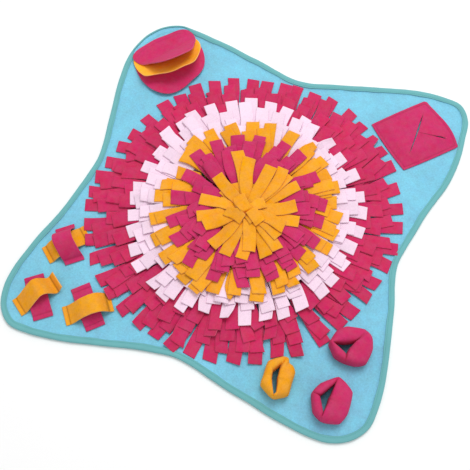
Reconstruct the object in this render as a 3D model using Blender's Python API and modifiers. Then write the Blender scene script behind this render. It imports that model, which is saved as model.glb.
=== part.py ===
"""Snuffle mat: a four-cornered fleece mat with a rosette of fleece strips and corner toys.

Metres, +Z up.  The origin is on the underside, below the middle of the rosette.  The long
corners lie on the diagonals and the drawn-in sides face along X and Y.  Every piece of cloth
is an open surface given its thickness by a Solidify modifier.
"""

import math

import bmesh
import bpy
from mathutils import Vector

MM = 0.001
GAP = 0.3 * MM                  # clearance between pieces that are sewn to each other

# ---------------------------------------------------------------- base panel and its edge
BASE_THICKNESS = 3.0 * MM
BASE_TOP = BASE_THICKNESS
TAPE_THICKNESS = 1.0 * MM
TAPE_WIDTH = 10.5 * MM          # how far the folded tape reaches in from the edge
EDGE_RISE = TAPE_THICKNESS + GAP    # the panel's edge lies on the tape's lower half
EDGE_SLOPE = 3.0 * MM           # width of the strip in which the panel rises onto the tape
EDGE_INSET = TAPE_THICKNESS + GAP   # the panel's edge lies this far inside the tape's fold
OUTLINE_STATIONS = 72
OUTLINE_FINE_STATIONS = 1440    # bearings at which the outline is measured before it is divided

WAISTS_MM = (242, 244, 244, 245)    # radius where the sides draw in, towards +X, +Y, -X, -Y
SHOULDERS_DEG = (-28, -17, -8, 0, 8, 17, 28)   # bearings at which a corner's radius is given
CORNERS = (
    # bearing of the tip in degrees, radii in mm at SHOULDERS_DEG
    (47.2, (275, 324, 364, 394, 362, 312, 270)),
    (136.6, (275, 314, 355, 359, 339, 300, 265)),
    (227.5, (273, 322, 370, 383, 344, 298, 261)),
    (317.7, (281, 322, 360, 365, 334, 296, 264)),
)

# ---------------------------------------------------------------- rosette
STRIP_WIDTH = 19.0 * MM
FOLDED_STRIP = 3.0 * MM         # two ends of a folded strip, one on the other
ROOT_STEP = 6.0 * MM            # how far a row's root lies inside the fold of its blades
FRINGE_ROWS = (
    # name, colour, strips, tip radius mm, fold radius mm, tip height mm,
    # rise of the blade from its tip in to the fold, per unit run
    ("fringe_crimson_1", "crimson", 48, 230, 172, 5.6, 0.05),
    ("fringe_crimson_2", "crimson", 41, 203, 144, 11.4, 0.03),
    ("fringe_pink_1", "pink", 37, 176, 117, 16.9, 0.00),
    ("fringe_pink_2", "pink", 34, 159, 99, 22.3, -0.04),
    ("fringe_amber_1", "amber", 27, 143, 82, 26.4, -0.06),
    ("fringe_magenta_1", "magenta", 20, 118, 58, 29.4, -0.08),
    ("fringe_magenta_2", "magenta", 18, 97, 38, 32.3, -0.10),
    ("fringe_amber_2", "amber", 18, 78, 19, 35.0, -0.12),
)
CROWN_STRIPS = 6
CROWN_TIP = 33.0 * MM
CROWN_FOLD = 6.0 * MM
CROWN_ROOT = 3.0 * MM
CROWN_HEIGHT = 35.2 * MM
CROWN_SLOPE = -0.04
CROWN_STRIP_WIDTH = 15.0 * MM

# ---------------------------------------------------------------- corner toys
TOY_CLOTH = 2.0 * MM            # thickness of one layer of fleece

FLAP_RADIUS = 58.0 * MM
FLAP_CENTRE = (-204.0 * MM, 203.5 * MM)
FLAP_BEARING = math.radians(-36.0)  # the way the flaps open, towards the rosette
FLAP_SEAM = 49.0 * MM           # the back edge's distance from the flap's centre
FLAP_SEWN = 22.0 * MM           # the part of the lowest flap that lies flat, sewn down
FLAP_BEND_STEP = 1.5 * MM       # each flap above bends up this much nearer the seam
FLAP_STATIONS = 14
FLAPS = (
    # name, colour, lift in degrees
    ("flap_low", "magenta", 4.0),
    ("flap_middle", "amber", 27.0),
    ("flap_top", "magenta", 40.0),
)

POCKET_CORNERS_MM = ((136, 208), (202, 278), (268, 216), (204, 149))
POCKET_BULGE = 4.0 * MM         # rise of the loose middle over the sewn edge
POCKET_RINGS = (
    # share of the way from the middle to the edge, share of the bulge
    (0.45, 1.0),
    (0.86, 0.0),
    (1.0, 0.0),
)
POCKET_SLITS = (
    # start, end and middle width, mm
    ((206.5, 255.0), (205.5, 175.0), 3.0),
    ((211.5, 217.0), (254.5, 224.0), 1.6),
)
CUTTER_REACH = 30.0 * MM        # a slit's cutter reaches this far above and below the floor
CUTTER_MERGE = 0.01 * MM

BRIDGE_WIDTH = 28.0 * MM
BRIDGE_HEM = 7.0 * MM           # sewn end of a strip
BRIDGE_SEGMENTS = 10
ARCH_FULLNESS = 0.8             # power of the arch sine: under 1 is fuller at the sides
BRIDGES = (
    # name, colour, one end, other end (mm), rise of the arch mm
    ("bridge_a_under", "amber", (-248, -172), (-210, -124), 6.5),
    ("bridge_a_over", "magenta", (-242, -121), (-204, -166), 22.0),
    ("bridge_b_under", "magenta", (-251, -207), (-210, -259), 6.5),
    ("bridge_b_over", "amber", (-252, -259), (-213, -202), 21.0),
    ("bridge_c_under", "magenta", (-181, -197), (-134, -245), 6.5),
    ("bridge_c_over", "amber", (-183, -246), (-133, -206), 21.0),
)

ROLL_STATIONS = 20
ROLLS = (
    # name, colour, middle (mm), length, width (mm), bearing, mouth length, width (mm), shift
    ("rolled_pocket_1", "magenta", (216.0, -144.0), 61.0, 51.0, 20.0, 42.0, 20.0, 0.0),
    ("rolled_pocket_2", "amber", (134.5, -224.5), 57.0, 44.0, 82.0, 44.0, 12.0, 3.0),
    ("rolled_pocket_3", "magenta", (211.0, -227.0), 66.0, 54.0, 82.0, 48.0, 14.0, 7.0),
)
ROLL_FOOT = BASE_TOP + GAP + 0.3 * MM    # mid-cloth height of the foot's cut edge
ROLL_SECTION = (
    # share of the way from the mouth out to the footprint, height mm
    (0.90, 0.0),
    (1.00, 9.0),
    (0.92, 20.0),
    (0.55, 27.0),
    (0.12, 25.5),
    (0.00, 18.0),
)

# ---------------------------------------------------------------- finish
COLOURS = {
    # linear base colour of the fleece, roughness
    "blue": ((0.20, 0.58, 0.74, 1.0), 0.95),
    "teal": ((0.16, 0.50, 0.50, 1.0), 0.85),
    "crimson": ((0.60, 0.035, 0.13, 1.0), 0.95),
    "magenta": ((0.62, 0.045, 0.18, 1.0), 0.95),
    "pink": ((0.88, 0.68, 0.80, 1.0), 0.95),
    "amber": ((0.82, 0.34, 0.035, 1.0), 0.95),
}


def clear_scene():
    for old in list(bpy.data.objects):
        bpy.data.objects.remove(old, do_unlink=True)


def new_collection(name):
    collection = bpy.data.collections.new(name)
    bpy.context.scene.collection.children.link(collection)
    return collection


def fleece(colour):
    """The colour's material, made once."""
    name = "fleece_" + colour
    material = bpy.data.materials.get(name)
    if material is None:
        material = bpy.data.materials.new(name)
        material.use_nodes = True
        shader = material.node_tree.nodes["Principled BSDF"]
        base, roughness = COLOURS[colour]
        shader.inputs["Base Color"].default_value = base
        shader.inputs["Roughness"].default_value = roughness
        shader.inputs["Metallic"].default_value = 0.0
    return material


def add_sheet(name, bm, colour, thickness, offset=0.0):
    """Make an object of the open surface in bm and give it the cloth's thickness.

    offset -1 grows the cloth under the surface, 0 to both sides of it, 1 above it.
    """
    bmesh.ops.recalc_face_normals(bm, faces=bm.faces)
    if sum(face.normal.z * face.calc_area() for face in bm.faces) < 0:
        bmesh.ops.reverse_faces(bm, faces=bm.faces)
    mesh = bpy.data.meshes.new(name)
    bm.to_mesh(mesh)
    bm.free()
    piece = bpy.data.objects.new(name, mesh)
    MAT.objects.link(piece)
    mesh.materials.append(fleece(colour))
    solidify = piece.modifiers.new("cloth", "SOLIDIFY")
    solidify.thickness = thickness
    solidify.offset = offset
    solidify.use_even_offset = True
    return piece


def bridge_rings(bm, rings):
    """Join closed rings of points, each with as many points as the next, with quads."""
    loops = [[bm.verts.new(point) for point in ring] for ring in rings]
    for inner, outer in zip(loops, loops[1:]):
        for i in range(len(inner)):
            j = (i + 1) % len(inner)
            bm.faces.new((inner[i], inner[j], outer[j], outer[i]))
    return loops


def ladder(bm, rungs):
    """Join pairs of points (left, right) into a strip of quads."""
    pairs = [(bm.verts.new(left), bm.verts.new(right)) for left, right in rungs]
    for (left_a, right_a), (left_b, right_b) in zip(pairs, pairs[1:]):
        bm.faces.new((left_a, right_a, right_b, left_b))


# ---------------------------------------------------------------- outline of the mat
def outline_knots():
    """Bearing (degrees) and radius (m) of the points that fix the mat's outline."""
    knots = []
    for side, (tip, radii) in enumerate(CORNERS):
        knots.append((90.0 * side, WAISTS_MM[side] * MM))
        knots += [(tip + turn, radius * MM) for turn, radius in zip(SHOULDERS_DEG, radii)]
    return knots


def outline_radius(bearing, knots):
    """Smooth radius at a bearing: a cubic through the knots, with their chords as slopes."""
    count = len(knots)
    for i in range(count):
        start, end = knots[i], knots[(i + 1) % count]
        width = (end[0] - start[0]) % 360.0
        past = (bearing - start[0]) % 360.0
        if past < width:
            break
    before, after = knots[i - 1], knots[(i + 2) % count]
    slope_in = (end[1] - before[1]) / ((end[0] - before[0]) % 360.0)
    slope_out = (after[1] - start[1]) / ((after[0] - start[0]) % 360.0)
    t = past / width
    return (
        (2 * t**3 - 3 * t**2 + 1) * start[1]
        + (t**3 - 2 * t**2 + t) * width * slope_in
        + (3 * t**2 - 2 * t**3) * end[1]
        + (t**3 - t**2) * width * slope_out
    )


def outline_points(count):
    """Points evenly spaced along the outline, as 2D vectors."""
    knots = outline_knots()
    fine = []
    for step in range(OUTLINE_FINE_STATIONS):
        bearing = 360.0 * step / OUTLINE_FINE_STATIONS
        radius = outline_radius(bearing, knots)
        angle = math.radians(bearing)
        fine.append(Vector((radius * math.cos(angle), radius * math.sin(angle))))
    lengths = [0.0]
    for i in range(len(fine)):
        lengths.append(lengths[-1] + (fine[(i + 1) % len(fine)] - fine[i]).length)
    points = []
    i = 0
    for station in range(count):
        target = lengths[-1] * station / count
        while lengths[i + 1] < target:
            i += 1
        share = (target - lengths[i]) / (lengths[i + 1] - lengths[i])
        points.append(fine[i].lerp(fine[(i + 1) % len(fine)], share))
    return points


def inset_outline(points, distance, height):
    """The outline moved in by a distance, at a height."""
    ring = []
    for i, point in enumerate(points):
        along = (points[(i + 1) % len(points)] - points[i - 1]).normalized()
        inward = Vector((-along.y, along.x))
        moved = point + inward * distance
        ring.append((moved.x, moved.y, height))
    return ring


def build_base_panel(outline):
    """The base sheet: flat on the floor, its last strip rising onto the tape."""
    bm = bmesh.new()
    loops = bridge_rings(bm, [
        inset_outline(outline, TAPE_WIDTH + EDGE_SLOPE, BASE_TOP),
        inset_outline(outline, TAPE_WIDTH, BASE_TOP + EDGE_RISE),
        inset_outline(outline, EDGE_INSET, BASE_TOP + EDGE_RISE),
    ])
    bm.faces.new(loops[0])
    panel = add_sheet("base_panel", bm, "blue", BASE_THICKNESS, offset=-1.0)
    panel.modifiers["cloth"].use_even_offset = False


def build_edge_binding(outline):
    """The tape: under the edge, round it and back over it, one folded strip."""
    top = EDGE_RISE + BASE_THICKNESS + GAP + TAPE_THICKNESS
    middle = TAPE_THICKNESS / 2
    bm = bmesh.new()
    bridge_rings(bm, [
        inset_outline(outline, TAPE_WIDTH, middle),
        inset_outline(outline, middle, middle),
        inset_outline(outline, middle, top - middle),
        inset_outline(outline, TAPE_WIDTH, top - middle),
    ])
    add_sheet("edge_binding", bm, "teal", TAPE_THICKNESS)


# ---------------------------------------------------------------- rosette
def comb(name, colour, strips, root, fold, tip, tip_height, slope, width):
    """One sewn row: strips that stand up from the root and fold outwards, side by side."""
    bm = bmesh.new()
    fold_height = tip_height + slope * (tip - fold)
    stem = Vector((fold - root, fold_height - BASE_TOP)).normalized()
    root_height = BASE_TOP + GAP + stem.x * FOLDED_STRIP / 2
    pitch = 2 * math.pi / strips
    _, folds = bridge_rings(bm, [
        [polar(root, (i - 0.5) * pitch, root_height) for i in range(strips)],
        [polar(fold, (i - 0.5) * pitch, fold_height) for i in range(strips)],
    ])
    for i in range(strips):
        along = Vector((math.cos(i * pitch), math.sin(i * pitch), 0.0))
        across = Vector((-along.y, along.x, 0.0)) * (width / 2)
        middle = along * tip + Vector((0.0, 0.0, tip_height))
        tip_right = bm.verts.new(middle - across)
        tip_left = bm.verts.new(middle + across)
        bm.faces.new((folds[i], tip_right, tip_left, folds[(i + 1) % strips]))
    add_sheet(name, bm, colour, FOLDED_STRIP)


def polar(radius, angle, height):
    return (radius * math.cos(angle), radius * math.sin(angle), height)


def build_rosette():
    for name, colour, strips, tip, fold, height, slope in FRINGE_ROWS:
        comb(name, colour, strips, fold * MM - ROOT_STEP, fold * MM, tip * MM, height * MM,
             slope, STRIP_WIDTH)
    comb("fringe_crown", "amber", CROWN_STRIPS, CROWN_ROOT, CROWN_FOLD, CROWN_TIP,
         CROWN_HEIGHT, CROWN_SLOPE, CROWN_STRIP_WIDTH)


# ---------------------------------------------------------------- round flaps
def flap_runs(sewn):
    """Distances along a flap from its sewn end at which its width is given."""
    first = math.asin((sewn - FLAP_SEAM) / FLAP_RADIUS)
    step = (math.pi / 2 - first) / FLAP_STATIONS
    runs = [0.0]
    for i in range(FLAP_STATIONS):
        runs.append(FLAP_SEAM + FLAP_RADIUS * math.sin(first + step * i))
    return runs


def build_flaps():
    """Flat where the seam holds them, then lifted, each more than the one below."""
    out = Vector((math.cos(FLAP_BEARING), math.sin(FLAP_BEARING), 0.0))
    across = Vector((-out.y, out.x, 0.0))
    seam_end = Vector((*FLAP_CENTRE, 0.0)) - out * FLAP_SEAM
    for layer, (name, colour, lift_degrees) in enumerate(FLAPS):
        lift = math.radians(lift_degrees)
        seam_height = BASE_TOP + GAP + TOY_CLOTH / 2 + layer * (TOY_CLOTH + GAP)
        sewn = FLAP_SEWN - layer * FLAP_BEND_STEP
        rungs = []
        for run in flap_runs(sewn):
            loose = max(run - sewn, 0.0)
            half = math.sqrt(FLAP_RADIUS**2 - (run - FLAP_SEAM) ** 2)
            middle = seam_end + out * (min(run, sewn) + loose * math.cos(lift))
            middle.z = seam_height + loose * math.sin(lift)
            rungs.append((middle + across * half, middle - across * half))
        bm = bmesh.new()
        ladder(bm, rungs)
        add_sheet(name, bm, colour, TOY_CLOTH)


# ---------------------------------------------------------------- slit pocket
def slit_cutter(name, start, end, width, collection):
    """A thin almond-shaped cutter through the pocket."""
    start, end = Vector(start) * MM, Vector(end) * MM
    side = (end - start).normalized().orthogonal() * (width * MM / 2)
    middle = (start + end) / 2
    curve = bpy.data.curves.new(name, "CURVE")
    curve.dimensions = "2D"
    curve.fill_mode = "BOTH"
    curve.extrude = CUTTER_REACH
    spline = curve.splines.new("POLY")
    spline.points.add(3)
    corners = (start, middle + side, end, middle - side)
    for point, corner in zip(spline.points, corners):
        point.co = (corner.x, corner.y, 0.0, 1.0)
    spline.use_cyclic_u = True
    outline = bpy.data.objects.new(name + "_outline", curve)
    collection.objects.link(outline)
    bpy.context.view_layer.update()
    mesh = bpy.data.meshes.new_from_object(outline.evaluated_get(
        bpy.context.evaluated_depsgraph_get()))
    bpy.data.objects.remove(outline, do_unlink=True)
    bm = bmesh.new()
    bm.from_mesh(mesh)
    bmesh.ops.remove_doubles(bm, verts=bm.verts, dist=CUTTER_MERGE)
    bmesh.ops.recalc_face_normals(bm, faces=bm.faces)
    bm.to_mesh(mesh)
    bm.free()
    cutter = bpy.data.objects.new(name, mesh)
    collection.objects.link(cutter)
    cutter.hide_render = True
    cutter.display_type = "WIRE"
    return cutter


def build_slit_pocket(cutters):
    """A square sheet, sewn flat round its edge and loose over the middle, with its slits."""
    edge_height = BASE_TOP + GAP + TOY_CLOTH / 2
    corners = [Vector((x, y)) * MM for x, y in POCKET_CORNERS_MM]
    centre = sum(corners, Vector((0.0, 0.0))) / len(corners)
    rings = []
    for share, rise in POCKET_RINGS:
        ring = []
        for i, corner in enumerate(corners):
            following = corners[(i + 1) % len(corners)]
            for along in (0.0, 0.5):
                point = centre + (corner.lerp(following, along) - centre) * share
                ring.append((point.x, point.y, edge_height + rise * POCKET_BULGE))
        rings.append(ring)
    bm = bmesh.new()
    loops = bridge_rings(bm, rings)
    bm.faces.new(loops[0])
    pocket = add_sheet("slit_pocket", bm, "magenta", TOY_CLOTH)
    for number, (start, end, width) in enumerate(POCKET_SLITS, 1):
        slit = pocket.modifiers.new("slit_%d" % number, "BOOLEAN")
        slit.operation = "DIFFERENCE"
        slit.solver = "EXACT"
        slit.object = slit_cutter("slit_cutter_%d" % number, start, end, width, cutters)


# ---------------------------------------------------------------- crossed strips
def build_bridges():
    for name, colour, one_end, other_end, rise in BRIDGES:
        start = Vector((*one_end, 0.0)) * MM
        end = Vector((*other_end, 0.0)) * MM
        run = end - start
        along = run.normalized()
        across = Vector((-along.y, along.x, 0.0)) * (BRIDGE_WIDTH / 2)
        hem_height = BASE_TOP + GAP + TOY_CLOTH / 2
        distances = [(0.0, 0.0)]
        for i in range(BRIDGE_SEGMENTS + 1):
            share = i / BRIDGE_SEGMENTS
            lift = math.sin(math.pi * share) ** ARCH_FULLNESS * rise * MM
            distances.append((BRIDGE_HEM + share * (run.length - 2 * BRIDGE_HEM), lift))
        distances.append((run.length, 0.0))
        bm = bmesh.new()
        rungs = []
        for distance, lift in distances:
            middle = start + along * distance + Vector((0.0, 0.0, hem_height + lift))
            rungs.append((middle + across, middle - across))
        ladder(bm, rungs)
        add_sheet(name, bm, colour, TOY_CLOTH)


# ---------------------------------------------------------------- rolled pockets
def build_rolled_pockets():
    """A ring of fleece that stands up, bulges and turns in to an almond-shaped mouth."""
    for (name, colour, centre, length, width, bearing, mouth_length, mouth_width,
         shift) in ROLLS:
        turn = math.radians(bearing)
        along = Vector((math.cos(turn), math.sin(turn), 0.0))
        across = Vector((-along.y, along.x, 0.0))
        middle = Vector((*centre, 0.0)) * MM
        rings = []
        for share, height in ROLL_SECTION:
            ring = []
            for i in range(ROLL_STATIONS):
                angle = 2 * math.pi * i / ROLL_STATIONS
                foot = (along * math.cos(angle) * length / 2
                        + across * math.sin(angle) * width / 2) * MM
                mouth = (along * math.cos(angle) * mouth_length / 2
                         + across * (math.sin(angle) * mouth_width / 2 + shift)) * MM
                point = middle + mouth.lerp(foot, share)
                point.z = ROLL_FOOT + height * MM
                ring.append(point)
            rings.append(ring)
        bm = bmesh.new()
        bridge_rings(bm, rings)
        add_sheet(name, bm, colour, TOY_CLOTH)


clear_scene()
MAT = new_collection("snuffle_mat")
CUTTERS = new_collection("cutters")
edge = outline_points(OUTLINE_STATIONS)
build_base_panel(edge)
build_edge_binding(edge)
build_rosette()
build_flaps()
build_slit_pocket(CUTTERS)
build_bridges()
build_rolled_pockets()
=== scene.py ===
"""Snuffle mat: the look of a fleece mat with a rosette of strips and toys on its corners.

Every piece is a closed sheet of cloth made around a grid of middle points, in metres.  The
rosette is laid strip by strip on a height map of what already lies there.
"""

import math

import bpy
import numpy as np
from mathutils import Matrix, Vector


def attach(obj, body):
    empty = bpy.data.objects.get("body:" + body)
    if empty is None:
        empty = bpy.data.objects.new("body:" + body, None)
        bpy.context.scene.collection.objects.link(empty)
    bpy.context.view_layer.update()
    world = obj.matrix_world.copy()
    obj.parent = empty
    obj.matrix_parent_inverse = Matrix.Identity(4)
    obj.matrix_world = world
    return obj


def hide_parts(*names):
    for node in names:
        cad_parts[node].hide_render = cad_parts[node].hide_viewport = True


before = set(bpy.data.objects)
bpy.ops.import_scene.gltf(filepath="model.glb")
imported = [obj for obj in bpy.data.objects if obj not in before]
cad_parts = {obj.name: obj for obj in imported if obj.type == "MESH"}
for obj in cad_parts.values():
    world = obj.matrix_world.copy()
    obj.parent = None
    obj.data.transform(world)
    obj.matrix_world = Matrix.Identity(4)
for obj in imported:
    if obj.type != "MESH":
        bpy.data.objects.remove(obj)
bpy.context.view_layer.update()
rng = np.random.default_rng(7)

MM = 0.001
BASE_TOP = 3.0 * MM


def metres(millimetres):
    """Places given in mm as an array in metres."""
    return np.array(millimetres, dtype=float) * MM


# ---------------- camera and light
CAMERA_AZIMUTH = math.radians(20.86)
CAMERA_ELEVATION = math.radians(69.17)
CAMERA_DISTANCE = 1.130
CAMERA_TARGET = Vector((0.0006, -0.0404, 0.0))
CAMERA_LENS = 57.7
CAMERA_SENSOR = 36.0
FLOOR_SIZE = 12.0
FLOOR_DROP = 0.3 * MM
FLOOR_COLOUR = (0.97, 0.97, 0.97, 1.0)
SKY_STRENGTH = 0.68
KEY_PLACE = (0.1, 0.95, 2.3)
KEY_SIZE = 1.3
KEY_POWER = 31.0

# ---------------- cloth
STRIP_CLOTH = 1.6 * MM
EDGE_ROUND = 0.30               # a cut edge bulges out by this share of the thickness
SHADE_STEP = 0.05               # a sheet's lightness changes by this for each unit of its shade
BAND_LENGTH = 0.31              # length of one band of a wave texture of scale 1, in metres

# linear base colours
BLUE = (0.215, 0.570, 0.745)
TEAL = (0.155, 0.450, 0.470)
CRIMSON = (0.575, 0.031, 0.113)
MAGENTA = (0.570, 0.035, 0.133)
PINK = (0.890, 0.680, 0.815)
AMBER = (0.850, 0.355, 0.024)

# ---------------- rosette
STRIP_WIDTH = 19.5 * MM
BEND_RADIUS = 2.5 * MM
ROOT_STEP = 6.0 * MM            # a row's root lies this far inside its fold
UPPER_STEP = 1.7 * MM           # the upper ends fold this much nearer the middle
LAYER_STEP = 0.85 * MM          # an end's height over or under the middle of its row
LAY_GAP = 0.2 * MM              # between an end and what it lies on
SIDE_GAP = 0.6 * MM             # between neighbours of a layer, at their roots
WIDTHS = (0.88, 1.06)           # least and greatest width of an end, as shares of STRIP_WIDTH
DROOP = (0.6, 3.0)              # how far its tip hangs down, mm
BOW_SPREAD = 1.6                # how much the ends differ in their bow and their cup, mm
CUP_SPREAD = 0.7
TWIST_SPREAD = 4.0              # and in their twist and the slant of their tips, degrees
SLANT_SPREAD = 4.5
CUT_SPREAD = 3.8                # how much the upper ends differ in length, mm
PILE_STEP = 1.0 * MM            # side of a square of the height map
PILE_REACH = 280.0 * MM         # from the middle to the map's sides
PILE_MARGIN = 3                 # squares along the map's sides that nothing is laid on
LAY_SAMPLES = (5, 8)            # samples a row and a column of points when a sheet is laid
RUFFLED = (225.0, 322.0)        # bearings between which the ends lie less flat
RUFFLE = 3.0                    # how many times as much they bend and turn
GAP_ROW = "fringe_amber_1"      # the row whose spaces show shorter ends below it
GAP_LIMIT = 1.22                # a space of more pitches than this has one
GAP_FOLD = 4.0                  # how far inside the row's fold it folds, mm
GAP_SHORTER = 8.0               # how much shorter it is than the row's ends, mm
INNER_FOLD = 60.0               # ends that show between those of the next row in, mm
INNER_TIP = 126.0
HUB = metres((9.0, -11.0))      # the middle strips spread from here, off the rows' centre
HUB_ROOTS = (22.0 * MM, 12.0 * MM)      # for the outer and the inner half of them
HUB_FOLDS = (15.0 * MM, 9.0 * MM)
HUB_WIDTHS = (0.86, 0.98)
HUB_WIDTH = 13.0 * MM           # least width of a middle strip at its fold
HUB_HEIGHT = 35.0 * MM          # of their tips
HUB_SLOPE = -0.12
HUB_RUFFLE = 2.5
UNDER_COUNT = 14                # shorter ends below the middle ones
UNDER_ROOT = 17.6 * MM
UNDER_RADIUS = 44.0             # of their tips, round a place between the hub and the centre
UNDER_HUB = HUB * 0.6
CROWN_ROOT = 1.0 * MM
CROWN_ENDS = (
    # where it comes out of the middle, tip (mm), width, height and depth of its stem in mm
    ((-4.7, -5.8), (25.0, -25.0), 19.5, 34.0, 2.5),
    ((14.0, -8.0), (29.5, 7.5), 15.5, 37.5, 9.0),
    ((-19.3, -24.5), (8.0, -31.0), 16.0, 37.0, 2.5),
    ((14.0, -13.0), (34.2, -26.4), 17.0, 38.5, 9.0),
    ((9.0, -15.0), (-10.0, 5.5), 19.0, 40.0, 9.0),
)
UNRULY = (
    # node, layer, place in the row, twist of the tip in degrees, bow mm, width of its end
    ("fringe_pink_1", 0, 5, 48.0, 6.0, 0.85),
    ("fringe_pink_1", 0, 27, -35.0, -5.0, 0.9),
    ("fringe_pink_1", 0, 28, 42.0, 4.0, 0.8),
    ("fringe_pink_1", 1, 28, -30.0, -4.0, 0.9),
    ("fringe_pink_1", 0, 30, 25.0, 5.0, 1.0),
    ("fringe_amber_1", 0, 4, 40.0, 3.0, 0.6),
    ("fringe_amber_1", 0, 21, -20.0, -3.0, 0.25),
    ("fringe_crimson_1", 0, 5, 28.0, 3.0, 0.9),
    ("fringe_crimson_1", 0, 6, -32.0, -3.0, 0.7),
    ("fringe_crimson_1", 0, 4, 20.0, 2.0, 1.0),
    ("fringe_crimson_2", 0, 31, 25.0, 3.0, 1.0),
    ("fringe_crimson_2", 1, 33, -25.0, -3.0, 0.9),
)
STEM_ROWS = 4                   # rows of points of a strip, from its seam up
BEND_ROWS = 3
BLADE_ROWS = 16
BLADE_END = 0.8 * MM            # the last two rows are this close
COLUMNS = np.array((-1.0, -0.9, -0.45, 0.0, 0.45, 0.9, 1.0))

# bearing in degrees and radius in mm of the lower, longer ends
CRIMSON_1_TIPS = (
    (5.5, 236), (14, 239), (21.5, 240), (30, 239), (38.5, 243), (45.5, 242), (52, 241),
    (58.5, 240), (65.3, 243), (74.3, 241), (81.3, 234), (88.5, 234), (93.4, 231), (100.8, 229),
    (107, 230), (115, 233), (122.6, 232), (130.6, 234), (138, 226), (145.8, 228), (155.3, 225),
    (164.3, 222), (172.3, 225), (179.9, 229), (187, 235), (193, 239), (198.7, 241), (206, 241),
    (212.3, 241), (220, 241), (228.5, 241), (234.6, 240), (242.4, 240), (250.3, 237), (257, 234),
    (263.6, 237), (271.2, 235), (279, 235), (286.8, 233), (294.3, 234), (302, 228), (309.3, 235),
    (319.8, 234), (329, 228), (335.5, 228), (343, 228), (349.7, 228), (357.5, 232),
)
PINK_1_TIPS = (
    (7.5, 181), (17.3, 183), (26.7, 182), (39, 182), (50, 175), (58.5, 177), (72.5, 179),
    (78, 182), (88, 184), (97.5, 186), (107.3, 189), (117.2, 184), (128, 185), (138.5, 184),
    (144.5, 178), (153.8, 181), (165.5, 166), (176.5, 170), (189.5, 171), (196, 172), (205, 174),
    (214, 177), (223, 182), (232, 187), (242.6, 183), (250.8, 185), (260.3, 184), (271.5, 172),
    (280.5, 173), (290.8, 181), (299.8, 176), (308.8, 179), (317.8, 178), (330.5, 179),
    (339, 176), (348.7, 176), (358.5, 176),
)
AMBER_1_TIPS = (
    (1, 143), (12, 144), (33, 145), (52, 143), (63, 147), (77.8, 145), (94, 143), (105, 141),
    (120, 137), (134, 137), (148, 137), (158, 123), (172.5, 115), (187, 128), (195, 134),
    (210, 141), (224, 145), (236, 147), (246, 140), (253, 149), (261.5, 152), (282.5, 147),
    (296.5, 149), (310, 145), (321, 144), (335.3, 142), (351.5, 143),
)
MAGENTA_1_TIPS = (
    (5.9, 119), (18.7, 121), (42.8, 119), (64.2, 121), (77.9, 119), (98.1, 115), (115.9, 113),
    (133.4, 114), (152.2, 113), (173.2, 103), (195.5, 109), (216.3, 116), (230.7, 120),
    (251.4, 127), (268.9, 128), (290.7, 129), (309, 125), (324, 123), (336.1, 116), (349.3, 123),
)
MAGENTA_2_TIPS = (
    (10.5, 104), (27, 95), (40.8, 106), (66, 100), (82.2, 90), (104.9, 102), (124.7, 96),
    (147.4, 97), (179.2, 80), (211.6, 84), (235.5, 91), (245.2, 105), (274, 111), (285.4, 100),
    (296.8, 115), (314.1, 100), (324.5, 110), (341.8, 102),
)
CENTRE_TIPS = (
    (17, 76), (38.6, 84), (55.4, 80), (66, 80), (76, 71), (103.3, 73), (119.3, 84), (152.9, 60),
    (195.6, 66), (218.4, 73), (232.9, 70), (255.4, 83), (271.7, 88), (286.6, 89), (294.5, 78),
    (309.6, 91), (322.1, 90), (331, 74), (345, 70), (359.9, 85),
)
ROSETTE_ROWS = (
    # node, material slot, strips, fold radius and tip height mm, rise of the strip from its tip
    # in to the fold per unit run, how much shorter the upper ends are mm, how many pitches they
    # lie to the left of the lower ones, the lower ends' tips or their mean radius mm
    ("fringe_crimson_1", "crimson_fleece", 48, 172, 5.6, 0.05, 16, (0.08, 0.50), CRIMSON_1_TIPS),
    ("fringe_crimson_2", "crimson_fleece", 41, 144, 11.4, 0.03, 15, (0.08, 0.50), 204.0),
    ("fringe_pink_1", "pink_fleece", 37, 117, 16.9, 0.00, 14, (0.0, 0.36), PINK_1_TIPS),
    ("fringe_pink_2", "pink_fleece", 34, 99, 22.3, -0.04, 13, (0.0, 0.36), 152.0),
    ("fringe_amber_1", "amber_fleece", 27, 82, 26.4, -0.06, 10, (0.0, 0.32), AMBER_1_TIPS),
    ("fringe_magenta_1", "magenta_fleece", 20, 58, 29.4, -0.08, 16, (-0.08, 0.14), MAGENTA_1_TIPS),
    ("fringe_magenta_2", "magenta_fleece", 18, 38, 32.3, -0.10, 9, (0.0, 0.32), MAGENTA_2_TIPS),
)


# ================ closed sheets of cloth
def unit(vectors):
    length = np.linalg.norm(vectors, axis=-1, keepdims=True)
    return vectors / np.maximum(length, 1e-12)


def left_of(vectors):
    """Vectors of the plan, turned a quarter to the left."""
    return np.stack((-vectors[..., 1], vectors[..., 0]), axis=-1)


def raised(plan, heights):
    """Points over their places in plan, at one height or at one for each."""
    heights = np.broadcast_to(heights, plan.shape[:-1])
    return np.concatenate((plan, heights[..., None]), axis=-1)


def closed(loop):
    """A loop's points with the first one again at the end."""
    return np.vstack((loop, loop[:1]))


def lengths_along(line):
    """How far each point of a line is from its first one, along the line."""
    steps = np.linalg.norm(np.diff(line, axis=0), axis=1)
    return np.concatenate(([0.0], np.cumsum(steps)))


def lengths_across(grid):
    """The same for a grid's columns, taken as the mean of its rows."""
    steps = np.linalg.norm(np.diff(grid, axis=1), axis=2).mean(axis=0)
    return np.concatenate(([0.0], np.cumsum(steps)))


def flat_places(along, across):
    """UVs of a grid from the lengths along and across its flat cloth."""
    return np.stack(np.meshgrid(along, across, indexing="ij"), axis=-1)


def rim_edges(faces):
    """Directed edges that only one face uses, in a fixed order."""
    edges = np.concatenate([faces[:, (i, (i + 1) % 4)] for i in range(4)])
    used = {(start, end) for start, end in edges.tolist() if start != end}
    return np.array(sorted(edge for edge in used if edge[::-1] not in used))


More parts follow.
